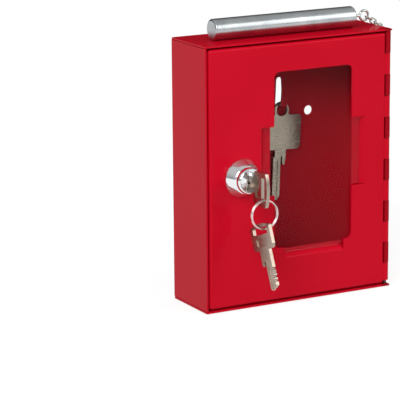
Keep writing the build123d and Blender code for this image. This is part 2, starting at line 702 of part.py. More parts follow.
def emergency_key():
    """The key that the box is for: loop, broad plain bow, collar, stub and grooved blade."""
    loop = Circle(EM_LOOP_R)
    bow = face_of([
        (-EM_BOW_HALF, EM_BOW_TOP), (EM_BOW_HALF, EM_BOW_TOP),
        (EM_BOW_HALF, EM_BOW_END), (-EM_BOW_HALF, EM_BOW_END),
    ])
    bow = fillet(bow.vertices(), 2.2)
    outline = loop + bow
    waist = [v for v in outline.vertices() if abs(v.Y - EM_BOW_TOP) < 0.01 and abs(v.X) < EM_LOOP_R]
    outline = fillet(waist, 1.6)
    collar_top = EM_BOW_END + 1
    collar = face_of([
        (-EM_COLLAR_HALF, collar_top), (EM_COLLAR_HALF, collar_top),
        (EM_COLLAR_HALF, EM_COLLAR_END), (-EM_COLLAR_HALF, EM_COLLAR_END),
    ])
    stub = face_of([
        (EM_STUB_X0, EM_COLLAR_END + 1), (EM_COLLAR_HALF, EM_COLLAR_END + 1),
        (EM_COLLAR_HALF - 0.6, EM_STUB_END), (EM_STUB_X0 + 0.3, EM_STUB_END),
    ])
    blade = face_of([
        (EM_BLADE_X0, EM_COLLAR_END + 1), (EM_BLADE_X1, EM_COLLAR_END + 1),
        (EM_BLADE_X1, EM_BLADE_END + 2.4), (EM_BLADE_X1 - 1.6, EM_BLADE_END), (EM_BLADE_X0 + 0.6, EM_BLADE_END),
        (EM_BLADE_X0, EM_BLADE_END + 0.6),
    ])
    outline = outline + collar + stub + blade - Circle(EM_HOLE_R)
    key = extrude(outline, KEY_T / 2, both=True)
    bow_middle = (EM_BOW_TOP + EM_BOW_END) / 2
    panel = Pos(0, bow_middle) * RectangleRounded(EM_PANEL_W, EM_PANEL_H, 1.5)
    groove_x = EM_BLADE_X0 + 1.6
    groove = face_of([
        (groove_x, EM_COLLAR_END + 2.5), (groove_x + GROOVE_W, EM_COLLAR_END + 2.5),
        (groove_x + GROOVE_W, EM_BLADE_END - 1), (groove_x, EM_BLADE_END - 1),
    ])
    for side in (-1, 1):
        key -= Pos(0, 0, side * (KEY_T / 2 - EM_PANEL_DEPTH + 0.5)) * extrude(panel, 0.5, both=True)
        key -= Pos(0, 0, side * (KEY_T / 2 - GROOVE_DEPTH + 0.5)) * extrude(groove, 0.5, both=True)
    seat = Plane(origin=(HOOK_X, EM_Y, HOOK_ROOT_Z), x_dir=(1, 0, 0), z_dir=(0, -1, 0))
    return seat * Rot(0, 0, -EM_TILT) * Pos(0, -EM_LOOP_DROP, 0) * key


# ---- Striker and chain ----------------------------------------------------------------------------
def rod_z():
    return BOX_H + ROD_LIFT + ROD_R


def eye_centre():
    return Vector(ROD_X1 + EYE_SHANK + EYE_R, ROD_Y, rod_z())


def top_run():
    """Direction of the chain from the eye to the edge of the box."""
    return Vector(cos(radians(TOP_DROP)), 0, -sin(radians(TOP_DROP)))


def striker_rod():
    rod = Rot(0, 90, 0) * Cylinder(ROD_R, ROD_X1 - ROD_X0)
    rod = Pos((ROD_X0 + ROD_X1) / 2, ROD_Y, rod_z()) * rod
    rod = chamfer(rod.edges().filter_by(GeomType.CIRCLE), ROD_CHAMFER)
    hole = Rot(0, 90, 0) * Cylinder(EYE_WIRE_R, 2 * EYE_THREAD)
    return rod - Pos(ROD_X1, ROD_Y, rod_z()) * hole


def striker_eye():
    """Screw eye in the end of the rod."""
    shank_end = ROD_X1 + EYE_SHANK
    shank_start = ROD_X1 - EYE_THREAD + 0.2
    shank = Rot(0, 90, 0) * Cylinder(EYE_WIRE_R, shank_end - shank_start)
    shank = Pos((shank_start + shank_end) / 2, ROD_Y, rod_z()) * shank
    collar = Rot(0, 90, 0) * Cylinder(1.5, 0.8)
    collar = Pos(ROD_X1 + 0.4, ROD_Y, rod_z()) * collar
    loop = Pos(*eye_centre()) * Rot(90, 0, 0) * wire_arc(EYE_WIRE_R, EYE_R, 360)
    return shank + collar + loop


def link_step():
    """Distance between the middles of neighbouring links when the chain is straight."""
    return 2 * (LINK_HALF_L - LINK_WIRE_R) - LINK_GAP


def knee():
    """Middle of the third link's end, where the chain bends over the edge."""
    first = LINK_HALF_L - LINK_WIRE_R - LINK_GAP - EYE_WIRE_R
    return eye_centre() + top_run() * (EYE_R + first + (TOP_LINKS - 1) * link_step() + LINK_HALF_L)


def link_seats():
    """Plane of every link: x along the chain, z square to the link's flat side."""
    front = Vector(0, 1, 0)
    down = Vector(0, 0, -1)
    seats = []
    for i in range(TOP_LINKS):
        centre = knee() - top_run() * (LINK_HALF_L + (TOP_LINKS - 1 - i) * link_step())
        flat = front if i % 2 else top_run().cross(front)
        seats.append(Plane(origin=centre, x_dir=top_run(), z_dir=flat))
    for i in range(SIDE_LINKS):
        centre = knee() + down * (LINK_HALF_L - 2 * LINK_WIRE_R - LINK_GAP + i * link_step())
        flat = down.cross(front) if i % 2 else front
        seats.append(Plane(origin=centre, x_dir=down, z_dir=flat))
    return seats


def chain_link(seat):
    """An oval of wire."""
    straight = LINK_HALF_L - LINK_HALF_W
    half_turn = Rot(0, 0, -90) * wire_arc(LINK_WIRE_R, LINK_HALF_W, 180)
    link = Pos(straight, 0, 0) * half_turn + Pos(-straight, 0, 0) * Rot(0, 0, 180) * half_turn
    for side in (-1, 1):
        y = side * LINK_HALF_W
        link += wire_bar(LINK_WIRE_R, (-straight, y, 0), (straight, y, 0))
    return seat * link


def staple_centre():
    """Middle of the staple's bar, inside the last link."""
    last = link_seats()[-1]
    return last.origin + last.x_dir * (LINK_HALF_L - LINK_WIRE_R - LINK_GAP - STAPLE_WIRE_R)


def staple_legs():
    """Where the staple's two legs pass through the right wall, as (y, z)."""
    bar = staple_centre()
    return [(bar.Y + side * STAPLE_HALF, bar.Z) for side in (-1, 1)]


def chain_staple():
    """Wire staple riveted into the right wall."""
    bar = staple_centre()
    inside = SIDE - SHEET - 0.8
    (front, z), (back, z) = staple_legs()
    path = FilletPolyline(
        (inside, front, z), (bar.X, front, z), (bar.X, back, z), (inside, back, z), radius=STAPLE_BEND
    )
    section = Plane(origin=path @ 0, z_dir=path % 0) * wire_section(STAPLE_WIRE_R)
    staple = sweep(section, path=path)
    for y in (front, back):
        staple += Pos(SIDE - SHEET - 0.4, y, z) * (Rot(0, 90, 0) * Cylinder(1.4, 0.8))
    return staple


# ---- Assembly --------------------------------------------------------------------------------------
def all_parts():
    parts = {
        "body_shell": body_shell(),
        "latch_keeper": latch_keeper(),
        "hinge_pin": hinge_pin(),
        "chain_staple": chain_staple(),
        "door_panel": door_panel(),
        "glass_pane": glass_pane(),
        "lock_housing": lock_housing(),
        "lock_washer": lock_washer(),
        "lock_nut": lock_nut(),
        "lock_plug": lock_plug(),
        "lock_cam": lock_cam(),
        "cam_washer": cam_washer(),
        "cam_screw": cam_screw(),
        "door_key": door_key(),
        "key_ring": key_ring(),
        "spare_key": spare_key(),
        "emergency_key": emergency_key(),
        "striker_rod": striker_rod(),
        "striker_eye": striker_eye(),
    }
    for i, y in enumerate(WAFER_YS, 1):
        parts[f"plug_wafer_{i}"] = plug_wafer(y)
    for i, seat in enumerate(link_seats(), 1):
        parts[f"chain_link_{i}"] = chain_link(seat)
    return parts


os.makedirs("parts", exist_ok=True)
for node, shape in all_parts().items():
    export_step(shape, f"parts/{node}.step")
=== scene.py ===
"""Looks of the emergency key box: its pieces in mesh code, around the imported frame."""

import json
from math import atan2, cos, degrees, pi, radians, sin, tan

import bmesh
import bpy
from mathutils import Matrix, Vector

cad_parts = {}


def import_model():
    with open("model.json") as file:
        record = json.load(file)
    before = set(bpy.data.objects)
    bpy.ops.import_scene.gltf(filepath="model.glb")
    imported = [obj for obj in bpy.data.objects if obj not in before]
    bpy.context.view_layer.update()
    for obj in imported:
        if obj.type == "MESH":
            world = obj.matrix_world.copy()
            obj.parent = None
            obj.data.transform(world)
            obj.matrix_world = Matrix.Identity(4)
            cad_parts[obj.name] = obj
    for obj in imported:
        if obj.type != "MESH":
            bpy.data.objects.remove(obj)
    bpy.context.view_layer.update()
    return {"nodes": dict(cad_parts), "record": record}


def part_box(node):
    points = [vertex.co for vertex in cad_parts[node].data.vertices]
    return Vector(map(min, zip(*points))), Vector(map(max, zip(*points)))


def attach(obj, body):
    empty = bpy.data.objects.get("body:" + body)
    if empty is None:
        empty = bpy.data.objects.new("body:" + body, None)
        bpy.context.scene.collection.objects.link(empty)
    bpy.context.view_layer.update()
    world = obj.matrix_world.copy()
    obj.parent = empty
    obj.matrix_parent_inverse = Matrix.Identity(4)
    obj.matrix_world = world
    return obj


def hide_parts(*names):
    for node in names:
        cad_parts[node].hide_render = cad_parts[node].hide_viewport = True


MM = 0.001

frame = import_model()


def span(node):
    """A CAD node's lowest and highest corner, in millimetres."""
    low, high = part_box(node)
    return [c / MM for c in low], [c / MM for c in high]


# ---- Sizes, in millimetres ---------------------------------------------------------------------
SHELL_LOW, SHELL_HIGH = span("body_shell")
SIDE = SHELL_HIGH[0]
FRONT, BACK = SHELL_LOW[1], SHELL_HIGH[1]
TOP = SHELL_HIGH[2]
SHEET = 1.0
FOLD = 1.6                    # outside radius of a fold
SEAM = 0.3                    # between side walls and top or bottom plate
NOTCH_X = SIDE - FOLD         # the plates' back corners are notched beyond this

PIN_LOW, PIN_HIGH = span("hinge_pin")
HINGE_X = (PIN_LOW[0] + PIN_HIGH[0]) / 2
HINGE_Y = (PIN_LOW[1] + PIN_HIGH[1]) / 2
CURL_R = SIDE - HINGE_X       # outside of the rolled knuckles
CASE_CURL_R = CURL_R - 0.75   # the case's own knuckles are rolled tighter
CASE_CORNER_R = 0.7           # between the right wall and a case knuckle
CASE_CURL = (-90.0, -285.0)   # start and end of a case knuckle's curl, degrees
DOOR_CURL = (-130.0, 195.0)   # the same for a door knuckle
KNUCKLES = 12                 # from the top down, the first belongs to the case
KNUCKLE_GAP = 0.3
BARREL_Z0, BARREL_Z1 = 1.6, 148.4
WALL_CUT_BACK = 4.5           # the right wall stops this far behind the front

SCREW_HOLE_R = 2.7
SCREW_HOLE_X = 28.4
SCREW_HOLE_Z = 99.9
HOOK_X = 8.9
HOOK_TOP_Z = 104.8            # top face of the hook's base bar
HOOK_FRONT_Y = 13.2
HOOK_TIP_Z = 116.0
HOOK_HALF_ROOT, HOOK_HALF_TIP = 2.0, 1.25
HOOK_KERF = 0.5
HOOK_SLOT_TOP = 121.0
KEEPER_CORNER_R = 2.5

DOOR_LOW, DOOR_HIGH = span("door_panel")
DOOR_LEFT = DOOR_LOW[0] + 0.3
DOOR_Z0, DOOR_Z1 = 1.9, 147.8
DOOR_RIGHT = 55.2
LIP_Y = DOOR_HIGH[1]          # back of the returned edges
LIP_RIGHT = 51.0
LIP_NOTCH = 1.8

WINDOW_X0, WINDOW_X1 = -16.7, 33.8
WINDOW_Z0, WINDOW_Z1 = 32.0, 132.1
WINDOW_R = 3.5
TAB_HALF = 19.5
TAB_KERF = 0.25
TAB_SIDE_REACH = 8.5
TAB_FOOT_REACH = 6.1
TAB_SHORT = 1.4               # a tab ends this far short of the window's edge
TAB_SET = 2.6
TAB_BEND = 1.0                # radius of the tabs' bends
TAB_FOLD = TAB_BEND * tan(radians(22.5))    # from a bend's start to its fold line
TAB_SIDE_Z = 82.0
TAB_FOOT_X = 9.2

GROOVE_DEPTH = 0.5            # between the door's edge and its knuckles
GROOVE_SLOPE = 0.4            # width of the step down to the groove's floor
GROOVE_END = 0.3              # the floor stops this far before a curl
LOCK_X, LOCK_Z = -37.3, 75.0
LOCK_FLAT = 7.3               # half the lock hole's width across its flats
LOCK_HOLE_R = 8.0

PANE_CORNER_R = 0.8

EDGE = 0.16                   # softened edge of painted sheet
FINE_EDGE = 0.12              # softened edge of turned chrome
PANE_EDGE = 0.2
KEY_EDGE = 0.22
BAR_EDGE = 0.15
WIRE_EDGE = 0.08              # softened edge of small wire parts


# ---- Outlines ----------------------------------------------------------------------------------
def arc(centre, radius, start, end, steps):
    """Points of a circular arc, angles in degrees, both ends included."""
    angles = [radians(start + (end - start) * i / steps) for i in range(steps + 1)]
    return [(centre[0] + radius * cos(a), centre[1] + radius * sin(a)) for a in angles]


def outline(corners, steps=5):
    """Closed outline from (x, y, radius) corners, each rounded with its radius."""
    points = []
    for i, (x, y, radius) in enumerate(corners):
        here = Vector((x, y))
        if not radius:
            points.append((x, y))
            continue
        before = (Vector(corners[i - 1][:2]) - here).normalized()
        after = (Vector(corners[(i + 1) % len(corners)][:2]) - here).normalized()
        half = before.angle(after) / 2
        centre = here + (before + after).normalized() * (radius / sin(half))
        start = here + before * (radius / tan(half)) - centre
        end = here + after * (radius / tan(half)) - centre
        first = atan2(start.y, start.x)
        turn = (atan2(end.y, end.x) - first + pi) % (2 * pi) - pi
        for k in range(steps + 1):
            angle = first + turn * k / steps
            points.append((centre.x + radius * cos(angle), centre.y + radius * sin(angle)))
    return points


def box_outline(x0, x1, y0, y1, radius):
    return outline([(x0, y0, radius), (x1, y0, radius), (x1, y1, radius), (x0, y1, radius)])


def circle(centre, radius, steps=48):
    return arc(centre, radius, 0, 360 - 360 / steps, steps - 1)


def flatted_circle(centre, radius, flat):
    """Circle with a flat on its left and right, each at the distance flat from the centre line."""
    reach = degrees(atan2((radius ** 2 - flat ** 2) ** 0.5, flat))
    points = []
    for middle in (90, 270):
        points += arc(centre, radius, middle - 90 + reach, middle + 90 - reach, 20)
    return points


# ---- Mesh helpers --------------------------------------------------------------------------------
def add_object(name, mesh):
    thing = bpy.data.objects.new(name, mesh)
    bpy.context.scene.collection.objects.link(thing)
    return thing


def applied(thing):
    """The object with its modifiers made real."""
    graph = bpy.context.evaluated_depsgraph_get()
    mesh = bpy.data.meshes.new_from_object(thing.evaluated_get(graph))
    thing.modifiers.clear()
    old = thing.data
    thing.data = mesh
    bpy.data.meshes.remove(old)
    mesh.name = thing.name
    return thing


def soften(thing, width, segments=2, angle=38):
    """Round the sharp edges, with flat faces that still shade flat."""
    for polygon in thing.data.polygons:
        polygon.use_smooth = True
    bevel = thing.modifiers.new("edge", "BEVEL")
    bevel.width = width * MM
    bevel.segments = segments
    bevel.limit_method = "ANGLE"
    bevel.angle_limit = radians(angle)
    bevel.use_clamp_overlap = True
    bevel.miter_outer = "MITER_ARC"
    normals = thing.modifiers.new("normals", "WEIGHTED_NORMAL")
    normals.keep_sharp = True
    normals.weight = 100
    return applied(thing)


def cut(thing, *cutters):
    """Subtract the cutters, which are used up."""
    for cutter in cutters:
        boolean = thing.modifiers.new("cut", "BOOLEAN")
        boolean.operation = "DIFFERENCE"
        boolean.solver = "EXACT"
        boolean.object = cutter
    applied(thing)
    for cutter in cutters:
        bpy.data.objects.remove(cutter, do_unlink=True)
    return thing


class Sheet:
    """Outer face of a folded sheet, put together from strips and filled outlines."""

    def __init__(self):
        self.bm = bmesh.new()

    def vertex(self, point):
        return self.bm.verts.new([c * MM for c in point])

    def strip(self, rows):
        """Quads between neighbouring rows of points."""
        grid = [[self.vertex(p) for p in row] for row in rows]
        for lower, upper in zip(grid, grid[1:]):
            for i in range(len(lower) - 1):
                corners = (lower[i], lower[i + 1], upper[i + 1], upper[i])
                if len({tuple(round(c, 7) for c in v.co) for v in corners}) > 2:
                    self.bm.faces.new(corners)

    def fill(self, loops, place):
        """A flat face inside the first loop and outside the others; place maps (u, v) to a point."""
        edges = []
        for loop in loops:
            ring = [self.vertex(place(u, v)) for u, v in loop]
            for a, b in zip(ring, ring[1:] + ring[:1]):
                edges.append(self.bm.edges.new((a, b)))
        bmesh.ops.triangle_fill(self.bm, edges=edges, use_beauty=True)

    def finish(self, name, outward, thickness=SHEET, edge=EDGE):
        """Give the sheet its thickness inward; outward(face) is above 0 where a face looks outward."""
        bmesh.ops.remove_doubles(self.bm, verts=self.bm.verts, dist=0.02 * MM)
        bmesh.ops.recalc_face_normals(self.bm, faces=self.bm.faces)
        if sum(outward(f) * f.calc_area() for f in self.bm.faces) < 0:
            bmesh.ops.reverse_faces(self.bm, faces=self.bm.faces)
        mesh = bpy.data.meshes.new(name)
        self.bm.to_mesh(mesh)
        self.bm.free()
        thing = add_object(name, mesh)
        solid = thing.modifiers.new("thickness", "SOLIDIFY")
        solid.thickness = thickness * MM
        solid.offset = -1
        solid.use_even_offset = True
        applied(thing)
        return soften(thing, edge)


def plate(name, loops, thickness, matrix=None):
    """Flat plate in the XY plane, middle at z 0, then placed by the matrix."""
    bm = bmesh.new()
    edges = []
    for loop in loops:
        ring = [bm.verts.new((x * MM, y * MM, -thickness / 2 * MM)) for x, y in loop]
        for a, b in zip(ring, ring[1:] + ring[:1]):
            edges.append(bm.edges.new((a, b)))
    bmesh.ops.triangle_fill(bm, edges=edges, use_beauty=True)
    bmesh.ops.recalc_face_normals(bm, faces=bm.faces)
    grown = bmesh.ops.extrude_face_region(bm, geom=bm.faces[:])
    moved = [g for g in grown["geom"] if isinstance(g, bmesh.types.BMVert)]
    bmesh.ops.translate(bm, verts=moved, vec=(0, 0, thickness * MM))
    bmesh.ops.recalc_face_normals(bm, faces=bm.faces)
    if matrix:
        bmesh.ops.transform(bm, matrix=matrix, verts=bm.verts)
    mesh = bpy.data.meshes.new(name)
    bm.to_mesh(mesh)
    bm.free()
    return add_object(name, mesh)


def lathe(name, profile, matrix, steps=64):
    """Solid of revolution about Z from a closed (radius, z) profile, placed by the matrix."""
    bm = bmesh.new()
    rings = []
    for radius, z in profile:
        if radius < 1e-6:
            rings.append([bm.verts.new((0, 0, z * MM))] * steps)
            continue
        turn = [2 * pi * i / steps for i in range(steps)]
        rings.append([bm.verts.new((radius * cos(a) * MM, radius * sin(a) * MM, z * MM)) for a in turn])
    for lower, upper in zip(rings, rings[1:] + rings[:1]):
        for i in range(steps):
            j = (i + 1) % steps
            corners = list(dict.fromkeys((lower[i], lower[j], upper[j], upper[i])))
            if len(corners) > 2:
                bm.faces.new(corners)
    bmesh.ops.recalc_face_normals(bm, faces=bm.faces)
    bmesh.ops.transform(bm, matrix=matrix, verts=bm.verts)
    mesh = bpy.data.meshes.new(name)
    bm.to_mesh(mesh)
    bm.free()
    return add_object(name, mesh)


def wire(name, points, radius, closed=False, sides=5):
    """Round wire along points in millimetres."""
    curve = bpy.data.curves.new(name, "CURVE")
    curve.dimensions = "3D"
    curve.bevel_depth = radius * MM
    curve.bevel_resolution = sides
    curve.use_fill_caps = True
    spline = curve.splines.new("POLY")
    spline.points.add(len(points) - 1)
    for spot, point in zip(spline.points, points):
        spot.co = (*[c * MM for c in point], 1)
    spline.use_cyclic_u = closed
    path = add_object(name, curve)
    graph = bpy.context.evaluated_depsgraph_get()
    mesh = bpy.data.meshes.new_from_object(path.evaluated_get(graph))
    bpy.data.objects.remove(path, do_unlink=True)
    for polygon in mesh.polygons:
        polygon.use_smooth = True
    return add_object(name, mesh)


def joined(name, *things):
    """One object made of several."""
    bm = bmesh.new()
    for thing in things:
        mesh = thing.data
        mesh.transform(thing.matrix_world)
        bm.from_mesh(mesh)
        bpy.data.objects.remove(thing, do_unlink=True)
    mesh = bpy.data.meshes.new(name)
    bm.to_mesh(mesh)
    bm.free()
    return add_object(name, mesh)


def along_y(x, z, y=0.0):
    """Matrix that turns Z into +Y, with its origin at that place in millimetres."""
    return Matrix.Translation((x * MM, y * MM, z * MM)) @ Matrix.Rotation(radians(-90), 4, "X")


def facing(y, x=0.0, z=0.0):
    """Matrix that stands an XY drawing up in the XZ plane at depth y, seen from the front."""
    return Matrix.Translation((x * MM, y * MM, z * MM)) @ Matrix.Rotation(radians(90), 4, "X")


def dress(thing, material, body, slot, *nodes):
    """Material, body, record slot (not used) and the CAD nodes that the piece stands for."""
    thing.data.materials.clear()
    thing.data.materials.append(material)
    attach(thing, body)
    if nodes:
        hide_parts(*nodes)
    return thing


# ---- Materials -------------------------------------------------------------------------------------
class Nodes:
    """Short way to write a node tree."""

    def __init__(self, name):
        self.material = bpy.data.materials.new(name)
        self.material.use_nodes = True
        self.tree = self.material.node_tree
        self.shader = self.tree.nodes["Principled BSDF"]
        self.output = self.tree.nodes["Material Output"]

    def add(self, kind, **values):
        node = self.tree.nodes.new(kind)
        for key, value in values.items():
            if key in node.inputs:
                node.inputs[key].default_value = value
            else:
                setattr(node, key, value)
        return node

    def link(self, source, target):
        self.tree.links.new(source, target)

    def set(self, **values):
        for key, value in values.items():
            self.shader.inputs[key.replace("_", " ")].default_value = value

    def noise(self, scale, detail=3.0, stretch=(1, 1, 1)):
        """Noise in object space; scale is in features per millimetre."""
        place = self.add("ShaderNodeTexCoord")
        mapping = self.add("ShaderNodeMapping")
        mapping.inputs["Scale"].default_value = [s / MM for s in stretch]
        self.link(place.outputs["Object"], mapping.inputs["Vector"])
        noise = self.add("ShaderNodeTexNoise", Scale=scale, Detail=detail)
        self.link(mapping.outputs["Vector"], noise.inputs["Vector"])
        return noise.outputs["Fac"]

    def spread(self, source, low, high, start=0.35, end=0.65):
        """Map the source's middle range to low..high."""
        ramp = self.add("ShaderNodeMapRange")
        for key, value in zip(("From Min", "From Max", "To Min", "To Max"), (start, end, low, high)):
            ramp.inputs[key].default_value = value
        self.link(source, ramp.inputs["Value"])
        return ramp.outputs["Result"]

    def tint(self, source, dark, light, start=0.35, end=0.65):
        """Base colour between two values, driven by the source; returns that colour."""
        ramp = self.add("ShaderNodeValToRGB")
        ramp.color_ramp.elements[0].position = start
        ramp.color_ramp.elements[1].position = end
        ramp.color_ramp.elements[0].color = (*dark, 1)
        ramp.color_ramp.elements[1].color = (*light, 1)
        self.link(source, ramp.inputs["Fac"])
        self.link(ramp.outputs["Color"], self.shader.inputs["Base Color"])
        return ramp.outputs["Color"]

    def bump(self, source, height, strength=1.0):
        """Bump with its height in millimetres."""
        bump = self.add("ShaderNodeBump", Strength=strength, Distance=height * MM)
        self.link(source, bump.inputs["Height"])
        self.link(bump.outputs["Normal"], self.shader.inputs["Normal"])


KNUCKLE_PAINTED_SHADE = (0.62, 0.35, 0.5)    # painted shade: factor that darkens the paint of the case's knuckles
PAINTED_SHADE_FADE = (0.3, 0.6)       # millimetres over which the painted shade fades, across and behind the barrel


def red_paint(name="red_paint", paint_knuckle_shade=False):
    """Smooth red powder coat with a faint orange peel, with painted shade on the knuckles where that is
    asked for.
    """
    nodes = Nodes(name)
    nodes.set(IOR=1.15)
    coat = nodes.tint(nodes.noise(0.02), (0.585, 0.0024, 0.0165), (0.612, 0.0032, 0.0195))
    # painted shade: the knuckles right of the door's edge are darkened, fading out behind the barrel
    if paint_knuckle_shade:
        place = nodes.add("ShaderNodeTexCoord")
        parts = nodes.add("ShaderNodeSeparateXYZ")
        nodes.link(place.outputs["Object"], parts.inputs["Vector"])
        edge, rear = DOOR_RIGHT * MM, (HINGE_Y + CASE_CURL_R) * MM
        across, behind = (fade * MM for fade in PAINTED_SHADE_FADE)
        both = nodes.add("ShaderNodeMath", operation="MULTIPLY")
        nodes.link(nodes.spread(parts.outputs["X"], 0, 1, edge, edge + across), both.inputs[0])
        nodes.link(nodes.spread(parts.outputs["Y"], 1, 0, rear, rear + behind), both.inputs[1])
        mix = nodes.add("ShaderNodeMixRGB", blend_type="MULTIPLY")
        mix.inputs["Color2"].default_value = (*KNUCKLE_PAINTED_SHADE, 1)
        nodes.link(both.outputs[0], mix.inputs["Fac"])
        nodes.link(coat, mix.inputs["Color1"])
        nodes.link(mix.outputs["Color"], nodes.shader.inputs["Base Color"])
    peel = nodes.noise(0.45, 2.0)
    nodes.link(nodes.spread(peel, 0.13, 0.19), nodes.shader.inputs["Roughness"])
    nodes.bump(peel, 0.004, 0.4)
    return nodes.material


def chrome():
    nodes = Nodes("chrome")
    nodes.set(Metallic=1.0)
    nodes.tint(nodes.noise(0.12), (0.74, 0.75, 0.77), (0.80, 0.81, 0.82))
    nodes.link(nodes.spread(nodes.noise(1.6), 0.04, 0.09), nodes.shader.inputs["Roughness"])
    return nodes.material


def brushed(name, dark, light, stretch, rough=(0.22, 0.36), height=0.006):
    """Metal with fine lines across the stretched axes."""
    nodes = Nodes(name)
    nodes.set(Metallic=1.0)
    lines = nodes.noise(1.0, 6.0, stretch)
    nodes.tint(nodes.noise(0.09, 4.0), dark, light)
    nodes.link(nodes.spread(lines, *rough), nodes.shader.inputs["Roughness"])
    nodes.bump(lines, height, 0.6)
    return nodes.material


def clear_glass():
    """Clear pane that lets light through to what it covers."""
    nodes = Nodes("pane_glass")
    nodes.set(Transmission_Weight=1.0, IOR=1.12)
    nodes.tint(nodes.noise(0.01), (0.955, 0.985, 0.97), (0.97, 0.99, 0.98))
    nodes.link(nodes.spread(nodes.noise(0.02), 0.0, 0.004), nodes.shader.inputs["Roughness"])
    path = nodes.add("ShaderNodeLightPath")
    clear = nodes.add("ShaderNodeBsdfTransparent")
    clear.inputs["Color"].default_value = (0.88, 0.90, 0.89, 1)
    mix = nodes.add("ShaderNodeMixShader")
    straight = nodes.add("ShaderNodeMath", operation="MAXIMUM")
    nodes.link(path.outputs["Is Shadow Ray"], straight.inputs[0])
    nodes.link(path.outputs["Is Diffuse Ray"], straight.inputs[1])
    nodes.link(straight.outputs[0], mix.inputs["Fac"])
    nodes.link(nodes.shader.outputs["BSDF"], mix.inputs[1])
    nodes.link(clear.outputs["BSDF"], mix.inputs[2])
    nodes.link(mix.outputs["Shader"], nodes.output.inputs["Surface"])
    return nodes.material


RED = red_paint()
# the case's paint, with painted shade on its knuckles
CASE_RED_PAINTED_SHADE = red_paint("red_paint_case_painted_shade", True)
CHROME = chrome()
KEY_NICKEL = brushed(
    "key_nickel", (0.35, 0.285, 0.235), (0.41, 0.34, 0.285), (0.12, 0.12, 0.7), (0.22, 0.28), 0.001
)
# painted shade: the key nickel made darker for the key inside the box
INNER_NICKEL_PAINTED_SHADE = brushed(
    "inner_nickel_painted_shade", (0.26, 0.215, 0.175), (0.31, 0.26, 0.215), (0.12, 0.12, 0.7), (0.22, 0.28), 0.001
)
BAR_STEEL = brushed(
    "bar_steel", (0.40, 0.425, 0.435), (0.52, 0.545, 0.555), (0.06, 2.0, 2.0), (0.22, 0.32), 0.003
)
# painted shade: very dark reddish steel for the hinge pin, dark like the shade in the knuckle gaps
PIN_STEEL_PAINTED_SHADE = brushed(
    "pin_steel_painted_shade", (0.10, 0.03, 0.03), (0.18, 0.07, 0.07), (0.8, 0.8, 0.2), (0.40, 0.55), 0.002
)
RING_NICKEL = brushed(
    "ring_nickel", (0.68, 0.54, 0.53), (0.76, 0.63, 0.62), (0.3, 0.3, 0.3), (0.24, 0.32), 0.001
)
CHAIN_STEEL = brushed(
    "chain_steel", (0.42, 0.45, 0.42), (0.56, 0.60, 0.56), (0.5, 0.5, 0.5), (0.16, 0.26), 0.001
)
ZINC = brushed("zinc_steel", (0.50, 0.52, 0.54), (0.66, 0.68, 0.70), (0.6, 0.6, 0.6), (0.2, 0.38))
BRASS = brushed("brass", (0.60, 0.42, 0.18), (0.74, 0.55, 0.27), (0.5, 0.5, 3.0))
GLASS = clear_glass()


# ---- Case ------------------------------------------------------------------------------------------
def knuckle_spans():
    pitch = (BARREL_Z1 - BARREL_Z0) / KNUCKLES
    spans = []
    for i in range(KNUCKLES):
        top = BARREL_Z1 - i * pitch
        spans.append((top - pitch + KNUCKLE_GAP / 2, top - KNUCKLE_GAP / 2))
    spans[0] = (spans[0][0], TOP - SHEET - SEAM)
    return spans


def hook_slot():
    """Outline of the opening the hook leaves, bottom edge where the hook's bend starts."""
    foot = HOOK_TOP_Z - FOLD
    half_root, half_tip = HOOK_HALF_ROOT + HOOK_KERF, HOOK_HALF_TIP + HOOK_KERF
    shoulder = HOOK_SLOT_TOP - half_tip
    corners = [(-half_root, HOOK_TOP_Z), (-half_root, foot), (-HOOK_HALF_ROOT, foot)]
    corners += [(-across, z) for across, z in reversed(corners)]
    return [(HOOK_X + across, z) for across, z in corners] + arc((HOOK_X, shoulder), half_tip, 0, 180, 12)


def hook_rows():
    """Rows across the hook from its root in the back panel to its round tip."""
    rows = []

    def row(y, z, half):
        rows.append([(HOOK_X - half, y, z), (HOOK_X, y, z), (HOOK_X + half, y, z)])

    for y, z in arc((BACK - FOLD, HOOK_TOP_Z - FOLD), FOLD, 0, 90, 6):
        row(y, z, HOOK_HALF_ROOT)
    inside = FOLD - SHEET
    upright = HOOK_FRONT_Y + SHEET
    for y, z in arc((upright + inside, HOOK_TOP_Z + inside), inside, 270, 180, 5):
        row(y, z, HOOK_HALF_ROOT)
    shoulder = HOOK_TIP_Z - HOOK_HALF_TIP
    row(upright, shoulder, HOOK_HALF_TIP)
    steps = 6
    for i in range(1, steps + 1):
        angle = radians(90 * i / (steps + 0.5))
        row(upright, shoulder + HOOK_HALF_TIP * sin(angle), HOOK_HALF_TIP * cos(angle))
    return rows


